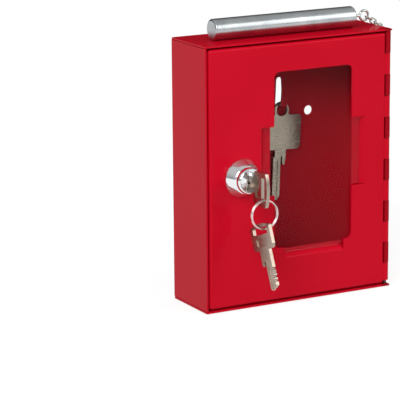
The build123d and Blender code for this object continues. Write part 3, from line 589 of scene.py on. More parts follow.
def case_sheet():
    """Left wall, back, right wall with its rolled knuckles, top and bottom plate."""
    sheet = Sheet()
    z_low, z_high = SHEET + SEAM, TOP - SHEET - SEAM
    levels = [z_low, FOLD, TOP - FOLD, z_high]
    spans = knuckle_spans()[::2]

    def wall(points, heights):
        sheet.strip([[(x, y, z) for z in heights] for x, y in points])

    left_bend = arc((-SIDE + FOLD, BACK - FOLD), FOLD, 180, 90, 6)
    wall([(-SIDE, FRONT), *left_bend], levels)
    cut_y = FRONT + WALL_CUT_BACK
    edges = sorted({z for pair in spans for z in pair} | set(levels))
    right_bend = arc((SIDE - FOLD, BACK - FOLD), FOLD, 90, 0, 6)
    wall([*right_bend, (SIDE, cut_y)], edges)
    curl = arc((HINGE_X, HINGE_Y), CASE_CURL_R, *CASE_CURL, 24)
    corner_at = (SIDE - CASE_CORNER_R, HINGE_Y - CASE_CURL_R + CASE_CORNER_R)
    corner = arc(corner_at, CASE_CORNER_R, 0, -90, 4)
    for pair in spans:
        wall([(SIDE, cut_y), *corner, *curl], pair)

    panel = [(-NOTCH_X, FOLD), (NOTCH_X, FOLD)]
    panel += [(NOTCH_X, z) for z in edges if FOLD < z < TOP - FOLD]
    panel += [(NOTCH_X, TOP - FOLD), (-NOTCH_X, TOP - FOLD)]
    holes = [circle((side * SCREW_HOLE_X, SCREW_HOLE_Z), SCREW_HOLE_R, 36) for side in (-1, 1)]
    sheet.fill([panel, hook_slot(), *holes], lambda u, v: (u, BACK, v))
    sheet.strip(hook_rows())

    for end, turn in ((0, -1), (TOP, 1)):
        middle = FOLD if end == 0 else TOP - FOLD
        fold = arc((BACK - FOLD, middle), FOLD, 0, 90 * turn, 6)
        rows = [[(x, y, z) for x in (-NOTCH_X, NOTCH_X)] for y, z in fold]
        sheet.strip(rows)
        across = [-SIDE, -NOTCH_X, NOTCH_X, SIDE]
        sheet.strip([[(x, y, end) for x in across] for y in (BACK - FOLD, FRONT)])

    def outward(face):
        middle = face.calc_center_median() / MM
        return face.normal.x * middle.x if abs(middle.x) > SIDE - 0.01 else 0

    return sheet.finish("case_sheet", outward)


def keeper_sheet():
    """Angle behind which the lock's cam turns, the free corners of its leg rounded."""
    low, high = span("latch_keeper")
    corner = KEEPER_CORNER_R
    sheet = Sheet()
    bend = arc((low[0] + FOLD, low[1] + FOLD), FOLD, 180, 270, 6)
    path = [(low[0], high[1]), *bend, (high[0] - corner, low[1])]
    levels = (low[2], low[2] + corner, high[2] - corner, high[2])
    sheet.strip([[(x, y, z) for z in levels] for x, y in path])
    rows = []
    for out, rise in arc((0, corner), corner, -90, 0, 6):
        levels = (low[2] + rise, low[2] + corner, high[2] - corner, high[2] - rise)
        rows.append([(high[0] - corner + out, low[1], z) for z in levels])
    sheet.strip(rows)
    return sheet.finish("latch_keeper_angle", lambda face: -face.normal.y)


# ---- Door ------------------------------------------------------------------------------------------
def tab_folds():
    """The x of the side tabs' fold lines and the z of the foot tab's."""
    return WINDOW_X0 - TAB_SIDE_REACH, WINDOW_X1 + TAB_SIDE_REACH, WINDOW_Z0 - TAB_FOOT_REACH


def door_face_outlines():
    """Outer edge of the flat face, the window with its three pockets, and the lock hole."""
    x0, z0, z1 = DOOR_LEFT + FOLD, DOOR_Z0 + FOLD, DOOR_Z1 - FOLD
    right = [z0, *sorted(z for pair in knuckle_spans()[1::2] for z in pair if z > z0), z1]
    border = [(x0, z0), (LIP_RIGHT, z0), *[(DOOR_RIGHT, z) for z in dict.fromkeys(right)]]
    border += [(LIP_RIGHT, z1), (x0, z1)]

    left_x, right_x, foot_z = tab_folds()
    low, high = TAB_SIDE_Z - TAB_HALF, TAB_SIDE_Z + TAB_HALF
    foot0, foot1 = TAB_FOOT_X - TAB_HALF, TAB_FOOT_X + TAB_HALF
    window = outline([
        (foot0, WINDOW_Z0, 0), (foot0, foot_z, 0), (foot0 + TAB_KERF, foot_z - TAB_FOLD, 0),
        (foot1 - TAB_KERF, foot_z - TAB_FOLD, 0), (foot1, foot_z, 0), (foot1, WINDOW_Z0, 0),
        (WINDOW_X1, WINDOW_Z0, WINDOW_R), (WINDOW_X1, low, 0), (right_x, low, 0),
        (right_x + TAB_FOLD, low + TAB_KERF, 0), (right_x + TAB_FOLD, high - TAB_KERF, 0),
        (right_x, high, 0), (WINDOW_X1, high, 0), (WINDOW_X1, WINDOW_Z1, WINDOW_R),
        (WINDOW_X0, WINDOW_Z1, WINDOW_R), (WINDOW_X0, high, 0), (left_x, high, 0),
        (left_x - TAB_FOLD, high - TAB_KERF, 0), (left_x - TAB_FOLD, low + TAB_KERF, 0),
        (left_x, low, 0), (WINDOW_X0, low, 0), (WINDOW_X0, WINDOW_Z0, WINDOW_R),
    ])
    return border, window, flatted_circle((LOCK_X, LOCK_Z), LOCK_HOLE_R, LOCK_FLAT)


def tab_profile(reach):
    """(along, depth) of a tab's front face, from its outer fold line to its free end."""
    first = arc((-TAB_FOLD, TAB_BEND), TAB_BEND, 270, 315, 4)
    second = arc((TAB_SET + TAB_FOLD, TAB_SET - TAB_BEND), TAB_BEND, 135, 90, 4)
    return [(-TAB_FOLD, 0.0)] + first[1:] + second + [(reach - TAB_SHORT, TAB_SET)]


def door_edges(offset):
    """The face's bottom, left and top edge moved outward by the offset, as far as each has a lip."""
    x, z0, z1 = DOOR_LEFT + FOLD, DOOR_Z0 + FOLD, DOOR_Z1 - FOLD
    bottom = [(LIP_RIGHT, z0 - offset), (x + LIP_NOTCH, z0 - offset)]
    left = [(x - offset, z0 + LIP_NOTCH), (x - offset, z1 - LIP_NOTCH)]
    top = [(x + LIP_NOTCH, z1 + offset), (LIP_RIGHT, z1 + offset)]
    return bottom, left, top


def door_rim(offset, depth):
    """The face's edge moved outward by the offset, its left corners rounded, at a depth."""
    x, z0, z1 = DOOR_LEFT + FOLD, DOOR_Z0 + FOLD, DOOR_Z1 - FOLD
    bottom, left, top = door_edges(offset)
    loop = [(DOOR_RIGHT, z0 - offset), *bottom, *arc((x, z0), offset, 270, 180, 6)]
    loop += [*left, *arc((x, z1), offset, 180, 90, 6), *top, (DOOR_RIGHT, z1 + offset)]
    return [(u, FRONT + depth, v) for u, v in loop]


def door_sheet():
    """Face, folded edges, tabs and rolled knuckles of the door."""
    sheet = Sheet()
    sheet.fill(door_face_outlines(), lambda u, v: (u, FRONT, v))

    left_x, right_x, foot_z = tab_folds()
    reach = TAB_HALF - TAB_KERF
    heights = (TAB_SIDE_Z - reach, TAB_SIDE_Z + reach)
    side_tab = tab_profile(TAB_SIDE_REACH)
    for edge_x, turn in ((left_x, 1), (right_x, -1)):
        sheet.strip([[(edge_x + turn * s, FRONT + d, z) for z in heights] for s, d in side_tab])
    across = (TAB_FOOT_X - reach, TAB_FOOT_X + reach)
    sheet.strip([[(x, FRONT + d, foot_z + s) for x in across] for s, d in tab_profile(TAB_FOOT_REACH)])

    steps = 6
    for i in range(steps):
        turns = (radians(90 * i / steps), radians(90 * (i + 1) / steps))
        sheet.strip([door_rim(FOLD * sin(t), FOLD * (1 - cos(t))) for t in turns])
    for edge in door_edges(FOLD):
        sheet.strip([[(x, y, z) for x, z in edge] for y in (FRONT + FOLD, LIP_Y)])

    curl = arc((HINGE_X, HINGE_Y), CURL_R, *DOOR_CURL, 32)
    groove = FRONT + GROOVE_DEPTH
    step = [(DOOR_RIGHT, FRONT), (DOOR_RIGHT + GROOVE_SLOPE, groove)]
    path = [*step, (curl[0][0] - GROOVE_END, groove), *curl]
    for z0, z1 in knuckle_spans()[1::2]:
        sheet.strip([[(x, y, z) for z in (max(z0, DOOR_Z0 + FOLD), z1)] for x, y in path])
    return sheet.finish("door_sheet", lambda face: -face.normal.y)


def pane():
    low, high = span("glass_pane")
    width, height = high[0] - low[0], high[2] - low[2]
    middle = (low[1] + high[1]) / 2
    shape = box_outline(0, width, 0, height, PANE_CORNER_R)
    glass = plate("pane", [shape], high[1] - low[1], facing(middle, low[0], low[2]))
    return soften(glass, PANE_EDGE)


# ---- Lock ------------------------------------------------------------------------------------------
PLUG_R = 6.5
HEAD_R = 7.6
HEAD_FRONT, HEAD_BACK = -30.3, -26.85
HEAD_CURVE = ((-0.9, 0.0), (-0.4, 0.5), (0.0, 1.4), (0.1, 2.4))    # (outward, back) from radius and front
HEAD_UNDERCUT = 0.1
CUP_R, CUP_FLOOR = 6.3, -27.8
CUP_DISH = 0.9                # the cup's floor rises towards its middle
CUP_MIDDLE_R = 2.2            # flat part of the raised middle
CUP_RING = 1.2                # width of the floor's outer ring
CUP_CORNER = 0.3              # between that ring and the cup's wall
CUP_MOUTH_R = 0.35
KEYWAY = (-1.2, 1.2, -5.5, 3.0)    # its left, right, lower and upper side, from the plug's axis
KEYWAY_MIDDLE_Y, KEYWAY_LENGTH = -20.0, 18.0
FLANGE_R = 11.0
FLANGE_RIM = 0.7              # thickness of its edge
BELL = ((10.75, -21.2), (10.2, -22.2), (9.5, -23.5), (8.8, -24.8), (8.1, -26.0), (7.6, -26.6))
BELL_FACE_Y = -26.8
BELL_MOUTH_R = 7.1
BELL_PLAY, BARREL_PLAY = 0.15, 0.05    # round the plug
BARREL_SHELL_R, BARREL_FLAT = 7.9, 7.2
BARREL_BACK = -7.1
DRIVE_HALF, DRIVE_BACK = 3.0, -4.95
DRIVE_ROOT = 0.1              # the square end reaches this far into the body
PLUG_BACK = -7.0


def housing():
    """Bell-shaped flange with a thin rim, and the flatted barrel behind it."""
    rim = [(FLANGE_R, FRONT - FLANGE_RIM), (FLANGE_R, FRONT)]
    bore = PLUG_R + BELL_PLAY
    profile = [(bore, BELL_FACE_Y), (BELL_MOUTH_R, BELL_FACE_Y), *reversed(BELL), *rim, (bore, FRONT)]
    flange = lathe("flange", profile, along_y(LOCK_X, LOCK_Z), 96)
    loops = [flatted_circle((0, 0), BARREL_SHELL_R, BARREL_FLAT), circle((0, 0), PLUG_R + BARREL_PLAY)]
    middle = (BARREL_BACK + FRONT) / 2
    barrel = plate("barrel", loops, BARREL_BACK - FRONT, facing(middle, LOCK_X, LOCK_Z))
    return soften(joined("lock_flange", flange, barrel), FINE_EDGE)


def keyway_cutter():
    """What the key's blade and stub take out of the plug's head."""
    shape = box_outline(*KEYWAY, 0)
    return plate("keyway", [shape], KEYWAY_LENGTH, facing(KEYWAY_MIDDLE_Y, LOCK_X, LOCK_Z))


def plug():
    """Turning plug: cupped head, shoulder, body and the square end that carries the cam."""
    dish = CUP_FLOOR - CUP_DISH
    profile = [(0, dish), (CUP_MIDDLE_R, dish), (CUP_R - CUP_RING, CUP_FLOOR)]
    profile += [(CUP_R - CUP_CORNER, CUP_FLOOR), (CUP_R, CUP_FLOOR - CUP_CORNER)]
    profile += arc((CUP_R + CUP_MOUTH_R, HEAD_FRONT + CUP_MOUTH_R), CUP_MOUTH_R, 180, 270, 4)
    profile += [(HEAD_R + out, HEAD_FRONT + back) for out, back in HEAD_CURVE]
    profile += [(HEAD_R - HEAD_UNDERCUT, HEAD_BACK), (PLUG_R, HEAD_BACK)]
    profile += [(PLUG_R, PLUG_BACK), (0, PLUG_BACK)]
    body = lathe("body", profile, along_y(LOCK_X, LOCK_Z), 96)
    square = box_outline(-DRIVE_HALF, DRIVE_HALF, -DRIVE_HALF, DRIVE_HALF, 0)
    length = DRIVE_BACK - PLUG_BACK + DRIVE_ROOT
    drive = plate("drive", [square], length, facing(DRIVE_BACK - length / 2, LOCK_X, LOCK_Z))
    cut(body, keyway_cutter())
    return soften(joined("lock_plug_turned", body, drive), FINE_EDGE)


# ---- Keys ------------------------------------------------------------------------------------------
KEY_T = 2.0
BLADE_X = 2.1                 # the blade's middle beside the bow's
BLADE_HALF = 2.8
BITTING = ((25.6, 0.9), (27.8, 0.5), (30.0, 1.0), (32.2, 0.7))    # (distance from the bow's top, depth)
NOTCH_ROOT, NOTCH_MOUTH = 0.15, 0.8    # half widths of a bitting notch
GROOVE_SINK = 0.45            # depth of a blade's groove
BOW_HALF, BOW_END = 9.4, -14.6
BOW_CROWN_R, BOW_CROWN_TURN = 26.8, 18.2    # radius of the bow's curved top, and half its turn in degrees
BOW_SHOULDER, BOW_SIDE_TOP = -1.95, -3.0    # where the crown ends, and where the straight sides begin
BOW_CORNER_R = 2.5
RING_SLOT = ((-6.9, -6.1, 0.7), (6.9, -6.1, 0.7), (6.65, -2.3, 0.7), (-6.65, -2.3, 0.7))
PANEL = (-5.3, 5.3, -12.7, -8.2, 0.6)    # left, right, lower and upper side, and corner radius
PANEL_SINK = 0.65
COLLAR_LEFT, COLLAR_RIGHT, COLLAR_END = -4.1, 4.9, -21.0
STUB_RIGHT, STUB_CHAMFER, STUB_LENGTH = -1.7, 0.5, 2.6
KEY_TIP = -37.2
TIP_LEFT, TIP_RIGHT = (0.9, 0.8), 2.2    # what the tip's slopes take off the blade's corners
DOOR_KEY_Y = -48.9            # front end of the key in the lock


def frame_of(origin, x_axis, z_axis):
    """Matrix from an origin in millimetres, the drawing's x direction and its normal."""
    x_axis, z_axis = Vector(x_axis).normalized(), Vector(z_axis).normalized()
    y_axis = z_axis.cross(x_axis)
    turn = Matrix((x_axis, y_axis, z_axis)).transposed().to_4x4()
    return Matrix.Translation(Vector(origin) * MM) @ turn


def sunk(key, loop, depth):
    """Sink an outline into both faces of a flat key that lies in the XY plane."""
    cutters = []
    for side in (-1, 1):
        middle = Matrix.Translation((0, 0, side * (KEY_T / 2 - depth + 1.0) * MM))
        cutters.append(plate("sink", [loop], 2.0, middle))
    return cut(key, *cutters)


def flat_key(name, seat):
    """Key of the door lock: crowned bow, ring slot, sunk panel, collar, stub and cut blade."""
    left, right = BLADE_X - BLADE_HALF, BLADE_X + BLADE_HALF
    crown = arc((0, -BOW_CROWN_R), BOW_CROWN_R, 90 - BOW_CROWN_TURN, 90 + BOW_CROWN_TURN, 14)
    edge = [(BOW_HALF, BOW_SIDE_TOP), (BOW_HALF, BOW_SHOULDER)]
    edge += [p for p in crown if abs(p[0]) < BOW_HALF - 0.9]
    edge += [(-BOW_HALF, BOW_SHOULDER), (-BOW_HALF, BOW_SIDE_TOP)]
    edge += arc((-BOW_HALF + BOW_CORNER_R, BOW_END + BOW_CORNER_R), BOW_CORNER_R, 180, 270, 6)
    stub_end = COLLAR_END - STUB_LENGTH
    edge += [(COLLAR_LEFT, BOW_END), (COLLAR_LEFT, stub_end + STUB_CHAMFER)]
    edge += [(COLLAR_LEFT + STUB_CHAMFER, stub_end), (STUB_RIGHT, stub_end)]
    edge += [(STUB_RIGHT, COLLAR_END), (left, COLLAR_END)]
    edge += [(left, KEY_TIP + TIP_LEFT[1]), (left + TIP_LEFT[0], KEY_TIP), (right, KEY_TIP + TIP_RIGHT)]
    for distance, depth in reversed(BITTING):
        edge += [(right, -distance - NOTCH_MOUTH), (right - depth, -distance - NOTCH_ROOT)]
        edge += [(right - depth, -distance + NOTCH_ROOT), (right, -distance + NOTCH_MOUTH)]
    edge += [(right, COLLAR_END), (COLLAR_RIGHT, COLLAR_END), (COLLAR_RIGHT, BOW_END)]
    edge += arc((BOW_HALF - BOW_CORNER_R, BOW_END + BOW_CORNER_R), BOW_CORNER_R, 270, 360, 6)
    key = plate(name, [edge, outline(RING_SLOT)], KEY_T)
    sunk(key, box_outline(*PANEL), PANEL_SINK)
    sunk(key, box_outline(left + 1.3, left + 2.7, KEY_TIP - 1, BOW_END - 2.5, 0), GROOVE_SINK)
    key = soften(key, KEY_EDGE)
    key.data.transform(seat)
    return key


RING_AT = (-37.3, -44.7)
RING_R, RING_WIRE_R, RING_PITCH = 7.95, 0.45, 0.95
RING_TOP_Z = 67.3
RING_CROSS = 24.0             # degrees in which the wire steps to the second turn
RING_CROSS_AT = 200.0
SPARE_TILT, SPARE_YAW = 21.0, 84.5    # the second key's lean and turn, degrees
SPARE_HANG = (3.7, 3.6)       # where the ring touches it, across and down from its bow's top
INNER_KEY_Y = 16.4
INNER_KEY_LEAN = -2.5         # degrees
INNER_KEY_DROP = 2.4          # from the hook's top face to the middle of the key's hole


def split_ring():
    """Two turns of round wire side by side, one running into the other."""
    points = []
    steps = 176
    total = 720 - RING_CROSS / 2
    for i in range(steps + 1):
        turn = total * i / steps
        share = min(1, max(0, (turn - (360 - RING_CROSS)) / RING_CROSS))
        shift = RING_PITCH * (share * share * (3 - 2 * share) - 0.5)
        angle = radians(turn + RING_CROSS_AT)
        x, z = RING_R * cos(angle), RING_R * sin(angle)
        points.append((RING_AT[0] + x, RING_AT[1] - shift, RING_TOP_Z - RING_R + z))
    return wire("split_ring", points, RING_WIRE_R)


def spare_seat():
    """The second key's place at the ring's lowest point."""
    tilt, yaw = radians(SPARE_TILT), radians(SPARE_YAW)
    along = Vector((cos(yaw), -sin(yaw), 0))
    up = Vector((0, 0, 1))
    across = along * cos(tilt) + up * sin(tilt)
    rise = up * cos(tilt) - along * sin(tilt)
    hang = Vector((RING_AT[0], RING_AT[1], RING_TOP_Z - 2 * RING_R))
    return frame_of(hang - across * SPARE_HANG[0] + rise * SPARE_HANG[1], across, across.cross(rise))


def inner_key():
    """The key on the hook: loop, broad bare bow, collar, stub and grooved blade."""
    loop_r, hole_r = 4.7, 3.5
    bow_half, bow_top, bow_end = 12.9, -2.9, -23.0
    top_r, foot_r = 1.2, 2.5
    collar_half, collar_end, stub_end, tip = 3.6, -27.0, -31.9, -52.4
    blade_left, blade_right = -4.5, 0.3
    neck = loop_r + 0.9
    start = degrees(atan2(bow_top + 1.3, neck - 1.2))
    edge = [(bow_half - top_r, bow_top), (neck, bow_top), (neck - 0.9, bow_top + 0.4)]
    edge += arc((0, 0), loop_r, start, 180 - start, 28)
    edge += [(-neck + 0.9, bow_top + 0.4), (-neck, bow_top)]
    edge += arc((-bow_half + top_r, bow_top - top_r), top_r, 90, 180, 5)
    edge += arc((-bow_half + foot_r, bow_end + foot_r), foot_r, 180, 270, 6)
    edge += [(-collar_half, bow_end), (-collar_half, collar_end), (blade_left, collar_end - 0.6)]
    edge += [(blade_left, tip + 0.6), (blade_left + 0.6, tip), (blade_right - 1.6, tip)]
    edge += [(blade_right, tip + 2.4), (blade_right, collar_end)]
    edge += [(1.3, collar_end), (1.5, stub_end), (collar_half - 0.6, stub_end)]
    edge += [(collar_half, collar_end), (collar_half, bow_end)]
    edge += arc((bow_half - foot_r, bow_end + foot_r), foot_r, 270, 360, 6)
    edge += arc((bow_half - top_r, bow_top - top_r), top_r, 0, 75, 4)
    key = plate("inner_key", [edge, circle((0, 0), hole_r, 40)], KEY_T)
    middle = (bow_top + bow_end) / 2
    sunk(key, box_outline(-6.4, 6.4, middle - 7.5, middle + 7.5, 1.5), 0.2)
    sunk(key, box_outline(-2.9, -1.5, tip - 1, collar_end - 2.5, 0), GROOVE_SINK)
    key = soften(key, KEY_EDGE)
    seat = frame_of((HOOK_X, INNER_KEY_Y, HOOK_TOP_Z), (1, 0, 0), (0, -1, 0))
    lean = Matrix.Rotation(radians(INNER_KEY_LEAN), 4, "Z")
    key.data.transform(seat @ lean @ Matrix.Translation((0, -INNER_KEY_DROP * MM, 0)))
    return key


# ---- Striker and chain -------------------------------------------------------------------------------
ROD_X0, ROD_X1 = -47.3, 43.5
ROD_R = 6.0
ROD_Y, ROD_Z = -4.0, 156.1
EYE_X, EYE_R, EYE_WIRE_R = 51.3, 2.8, 0.7
ROD_BORE_R, ROD_BORE_DEPTH = 0.75, 1.0    # for the eye's shank
ROD_DIMPLE_R, ROD_DIMPLE_DEPTH = 0.7, 0.25    # in the middle of its left end
ROD_CORNER = ((1.0, 0.0), (0.3, 0.45), (0.0, 1.1))    # (inward, along) from its radius and end
EYE_NECK = 5.0
EYE_COLLAR = ((0.4, 0), (1.5, 0), (1.5, 0.55), (1.25, 0.8), (0.4, 0.8))    # (radius, along)
LINK_R, LINK_HALF_L, LINK_HALF_W = 0.42, 2.3, 1.35
LINK_COUNT, TOP_LINKS = 6, 3  # the first three lie over the top plate, the others hang at the side
CHAIN_DROP = 31.0             # slope of the chain's top run, degrees
STAPLE_WIRE_R, STAPLE_BEND, STAPLE_HALF = 0.65, 1.2, 3.2
RIVET_T = 0.8
RIVET = ((0, 0), (1.0, 0), (1.4, 0.3), (1.4, RIVET_T), (0, RIVET_T))    # (radius, along)


def along_x(x, y, z):
    """Matrix that turns Z into +X, with its origin at that place in millimetres."""
    return Matrix.Translation((x * MM, y * MM, z * MM)) @ Matrix.Rotation(radians(90), 4, "Y")


def rod():
    """Turned bar with small rounded chamfers, a dimple in one end and the eye's bore in the other."""
    length = ROD_X1 - ROD_X0
    profile = [(0, ROD_DIMPLE_DEPTH), (ROD_DIMPLE_R, 0)]
    profile += [(ROD_R - inward, along) for inward, along in ROD_CORNER]
    profile += [(ROD_R - inward, length - along) for inward, along in reversed(ROD_CORNER)]
    profile += [(ROD_BORE_R, length), (ROD_BORE_R, length - ROD_BORE_DEPTH), (0, length - ROD_BORE_DEPTH)]
    turned = lathe("striker_bar", profile, along_x(ROD_X0, ROD_Y, ROD_Z), 96)
    return soften(turned, BAR_EDGE, 2, 25)


def eye():
    """Screw eye: shank, small collar and a closed loop."""
    seat = along_x(ROD_X1, ROD_Y, ROD_Z)
    loop = [(EYE_X + x, ROD_Y, ROD_Z + z) for x, z in circle((0, 0), EYE_R, 56)]
    ring = wire("loop", loop, EYE_WIRE_R, True)
    neck = lathe("neck", [(0, 0), (EYE_WIRE_R, 0), (EYE_WIRE_R, EYE_NECK), (0, EYE_NECK)], seat, 32)
    collar = lathe("collar", EYE_COLLAR, seat, 48)
    return soften(joined("screw_eye", ring, neck, collar), WIRE_EDGE)


def link(name, centre, along, flat):
    """One oval wire link about its centre."""
    along, flat = Vector(along).normalized(), Vector(flat).normalized()
    across = flat.cross(along)
    straight = LINK_HALF_L - LINK_HALF_W
    oval = arc((straight, 0), LINK_HALF_W, -90, 90, 12) + arc((-straight, 0), LINK_HALF_W, 90, 270, 12)
    points = [Vector(centre) + along * u + across * v for u, v in oval]
    return wire(name, points, LINK_R, True)


def chain():
    """Links from the eye over the edge of the top plate and down to the staple."""
    run = Vector((cos(radians(CHAIN_DROP)), 0, -sin(radians(CHAIN_DROP))))
    front, down = Vector((0, 1, 0)), Vector((0, 0, -1))
    for i in range(1, LINK_COUNT + 1):
        node = f"chain_link_{i}"
        low, high = span(node)
        centre = (Vector(low) + Vector(high)) / 2
        along, body = (run, "top_chain") if i <= TOP_LINKS else (down, "side_chain")
        flat = along.cross(front) if i % 2 else front
        dress(link(f"oval_{i}", centre, along, flat), CHAIN_STEEL, body, "chrome", node)


def staple():
    """Wire staple through the right wall, riveted over inside."""
    low, high = span("chain_staple")
    bend = STAPLE_BEND
    z = (low[2] + high[2]) / 2
    front, back = ROD_Y - STAPLE_HALF, ROD_Y + STAPLE_HALF
    inside, bar = SIDE - SHEET - RIVET_T / 2, high[0] - STAPLE_WIRE_R
    points = [(inside, front)] + arc((bar - bend, front + bend), bend, 270, 360, 8)
    points += arc((bar - bend, back - bend), bend, 0, 90, 8) + [(inside, back)]
    hoop = wire("hoop", [(x, y, z) for x, y in points], STAPLE_WIRE_R)
    heads = [lathe("rivet", RIVET, along_x(SIDE - SHEET - RIVET_T, y, z), 32) for y in (front, back)]
    return soften(joined("chain_hoop", hoop, *heads), WIRE_EDGE)


# ---- Studio ------------------------------------------------------------------------------------------
PHOTO_W, PHOTO_H = 400, 405
CAMERA_AT = (-0.6397, -1.0918, 0.3569)
CAMERA_YAW = 28.25            # turned right from +Y, degrees
CAMERA_PITCH = 13.52          # looking down
CAMERA_ROLL = -0.51
CAMERA_FOCAL = 2287.8         # focal length in pixels of the photograph
SENSOR = 36.0

WORLD_LEAN = (-0.25, -0.8, 1.2)    # the surroundings grow brighter along this direction
WORLD_SPAN = (-0.25, 0.75)    # from the darkest to the brightest point along it
WORLD_LEVELS = (0.02, 0.62)
FLOOR_GLOW = 0.76
FLOOR_HALF, FLOOR_Z = 8.0, -0.0005    # metres
LAMP_TARGET = (0, 0, 0.08)
LAMPS = (                     # name, place and size in metres, and watts
    ("key", (-1.6, -1.5, 1.3), 1.3, 38),
    ("fill", (1.6, -1.6, 1.2), 1.5, 16),
)


def camera():
    yaw, pitch, roll = radians(CAMERA_YAW), radians(CAMERA_PITCH), radians(CAMERA_ROLL)
    level = Vector((sin(yaw), cos(yaw), 0))
    side = Vector((cos(yaw), -sin(yaw), 0))
    ahead = level * cos(pitch) - Vector((0, 0, sin(pitch)))
    above = Vector((0, 0, cos(pitch))) + level * sin(pitch)
    right = side * cos(roll) + above * sin(roll)
    up = above * cos(roll) - side * sin(roll)
    data = bpy.data.cameras.new("camera")
    data.sensor_fit = "AUTO"
    data.sensor_width = SENSOR
    data.lens = CAMERA_FOCAL / max(PHOTO_W, PHOTO_H) * SENSOR
    data.clip_end = 50
    thing = bpy.data.objects.new("camera", data)
    turn = Matrix((right, up, -ahead)).transposed().to_4x4()
    thing.matrix_world = Matrix.Translation(CAMERA_AT) @ turn
    bpy.context.scene.collection.objects.link(thing)
    bpy.context.scene.camera = thing


def area_light(name, place, size, watts):
    """Square lamp that faces the box."""
    data = bpy.data.lights.new(name, "AREA")
    data.shape = "RECTANGLE"
    data.size = data.size_y = size
    data.energy = watts
    thing = bpy.data.objects.new(name, data)
    aim = Vector(LAMP_TARGET) - Vector(place)
    thing.matrix_world = Matrix.Translation(place) @ aim.to_track_quat("-Z", "Y").to_matrix().to_4x4()
    bpy.context.scene.collection.objects.link(thing)


def world():
    """White to the camera and through glass; to the object bright above and in front, dark low behind."""
    scene = bpy.context.scene
    scene.world = bpy.data.worlds.new("studio")
    scene.world.use_nodes = True
    tree = scene.world.node_tree
    link_up = tree.links.new
    soft = tree.nodes["Background"]
    white = tree.nodes.new("ShaderNodeBackground")
    for background in (soft, white):
        background.inputs["Color"].default_value = (1, 1, 1, 1)
    place = tree.nodes.new("ShaderNodeTexCoord")
    lean = tree.nodes.new("ShaderNodeVectorMath")
    lean.operation = "DOT_PRODUCT"
    lean.inputs[1].default_value = WORLD_LEAN
    link_up(place.outputs["Generated"], lean.inputs[0])
    level = tree.nodes.new("ShaderNodeMapRange")
    for key, value in zip(("From Min", "From Max", "To Min", "To Max"), (*WORLD_SPAN, *WORLD_LEVELS)):
        level.inputs[key].default_value = value
    link_up(lean.outputs["Value"], level.inputs["Value"])
    link_up(level.outputs["Result"], soft.inputs["Strength"])
    path = tree.nodes.new("ShaderNodeLightPath")
    either = tree.nodes.new("ShaderNodeMath")
    either.operation = "MAXIMUM"
    mix = tree.nodes.new("ShaderNodeMixShader")
    link_up(path.outputs["Is Camera Ray"], either.inputs[0])
    link_up(path.outputs["Is Transmission Ray"], either.inputs[1])
    link_up(either.outputs[0], mix.inputs["Fac"])
    link_up(soft.outputs[0], mix.inputs[1])
    link_up(white.outputs[0], mix.inputs[2])
    link_up(mix.outputs[0], tree.nodes["World Output"].inputs["Surface"])


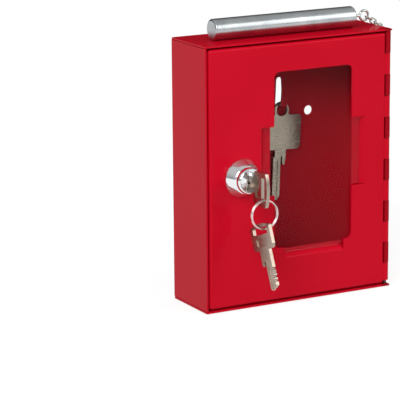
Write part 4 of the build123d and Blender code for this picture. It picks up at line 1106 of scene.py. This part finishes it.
def floor():
    """White floor that keeps a pale shadow and shows white in metal and glass."""
    bm = bmesh.new()
    bmesh.ops.create_grid(bm, x_segments=1, y_segments=1, size=FLOOR_HALF)
    mesh = bpy.data.meshes.new("floor")
    bm.to_mesh(mesh)
    bm.free()
    thing = add_object("floor", mesh)
    thing.location.z = FLOOR_Z
    nodes = Nodes("floor_white")
    nodes.set(Roughness=1.0, IOR=1.0)
    nodes.tint(nodes.noise(0.001), (0.34, 0.34, 0.34), (0.36, 0.36, 0.36))
    glow = nodes.add("ShaderNodeEmission")
    path = nodes.add("ShaderNodeLightPath")
    lit = path.outputs["Is Camera Ray"]
    for ray in ("Is Glossy Ray", "Is Transmission Ray"):
        either = nodes.add("ShaderNodeMath", operation="MAXIMUM")
        nodes.link(lit, either.inputs[0])
        nodes.link(path.outputs[ray], either.inputs[1])
        lit = either.outputs[0]
    level = nodes.add("ShaderNodeMath", operation="MULTIPLY")
    level.inputs[1].default_value = FLOOR_GLOW
    nodes.link(lit, level.inputs[0])
    nodes.link(level.outputs[0], glow.inputs["Strength"])
    both = nodes.add("ShaderNodeAddShader")
    nodes.link(nodes.shader.outputs["BSDF"], both.inputs[0])
    nodes.link(glow.outputs["Emission"], both.inputs[1])
    nodes.link(both.outputs["Shader"], nodes.output.inputs["Surface"])
    mesh.materials.append(nodes.material)


# ---- Build --------------------------------------------------------------------------------------------
# the case gets the paint with painted shade on its knuckles
dress(case_sheet(), CASE_RED_PAINTED_SHADE, "case", "red_paint", "body_shell")
dress(keeper_sheet(), RED, "case", "red_paint", "latch_keeper")
dress(door_sheet(), RED, "door", "red_paint", "door_panel")
dress(pane(), GLASS, "door", "pane", "glass_pane")
dress(staple(), ZINC, "case", "zinc_steel", "chain_staple")
dress(housing(), CHROME, "door", "chrome", "lock_housing")
dress(plug(), CHROME, "plug", "chrome", "lock_plug")
DOOR_KEY_SEAT = frame_of((LOCK_X, DOOR_KEY_Y, LOCK_Z - BLADE_X), (0, 0, 1), (1, 0, 0))
dress(flat_key("key_in_lock", DOOR_KEY_SEAT), KEY_NICKEL, "door_key", "key_nickel", "door_key")
dress(flat_key("key_on_ring", spare_seat()), KEY_NICKEL, "spare_key", "key_nickel", "spare_key")
dress(split_ring(), RING_NICKEL, "key_ring", "chrome", "key_ring")
# the key inside gets the darkened nickel, which is painted shade
dress(inner_key(), INNER_NICKEL_PAINTED_SHADE, "emergency_key", "key_nickel", "emergency_key")
dress(rod(), BAR_STEEL, "striker", "steel_bar", "striker_rod")
dress(eye(), CHAIN_STEEL, "striker", "chrome", "striker_eye")
chain()

MATERIAL_OF_SLOT = {
    "red_paint": RED, "pane": GLASS, "chrome": CHROME, "key_nickel": KEY_NICKEL,
    "steel_bar": BAR_STEEL, "zinc_steel": ZINC, "brass": BRASS,
}
for part in frame["record"]["subparts"]:
    # the hinge pin gets the steel darkened as painted shade
    finish = PIN_STEEL_PAINTED_SHADE if part["node"] == "hinge_pin" else MATERIAL_OF_SLOT[part["material_slot"]]
    for slot in frame["nodes"][part["node"]].material_slots:
        slot.material = finish

camera()
world()
floor()
for lamp in LAMPS:
    area_light(*lamp)
bpy.context.scene.view_settings.view_transform = "Standard"
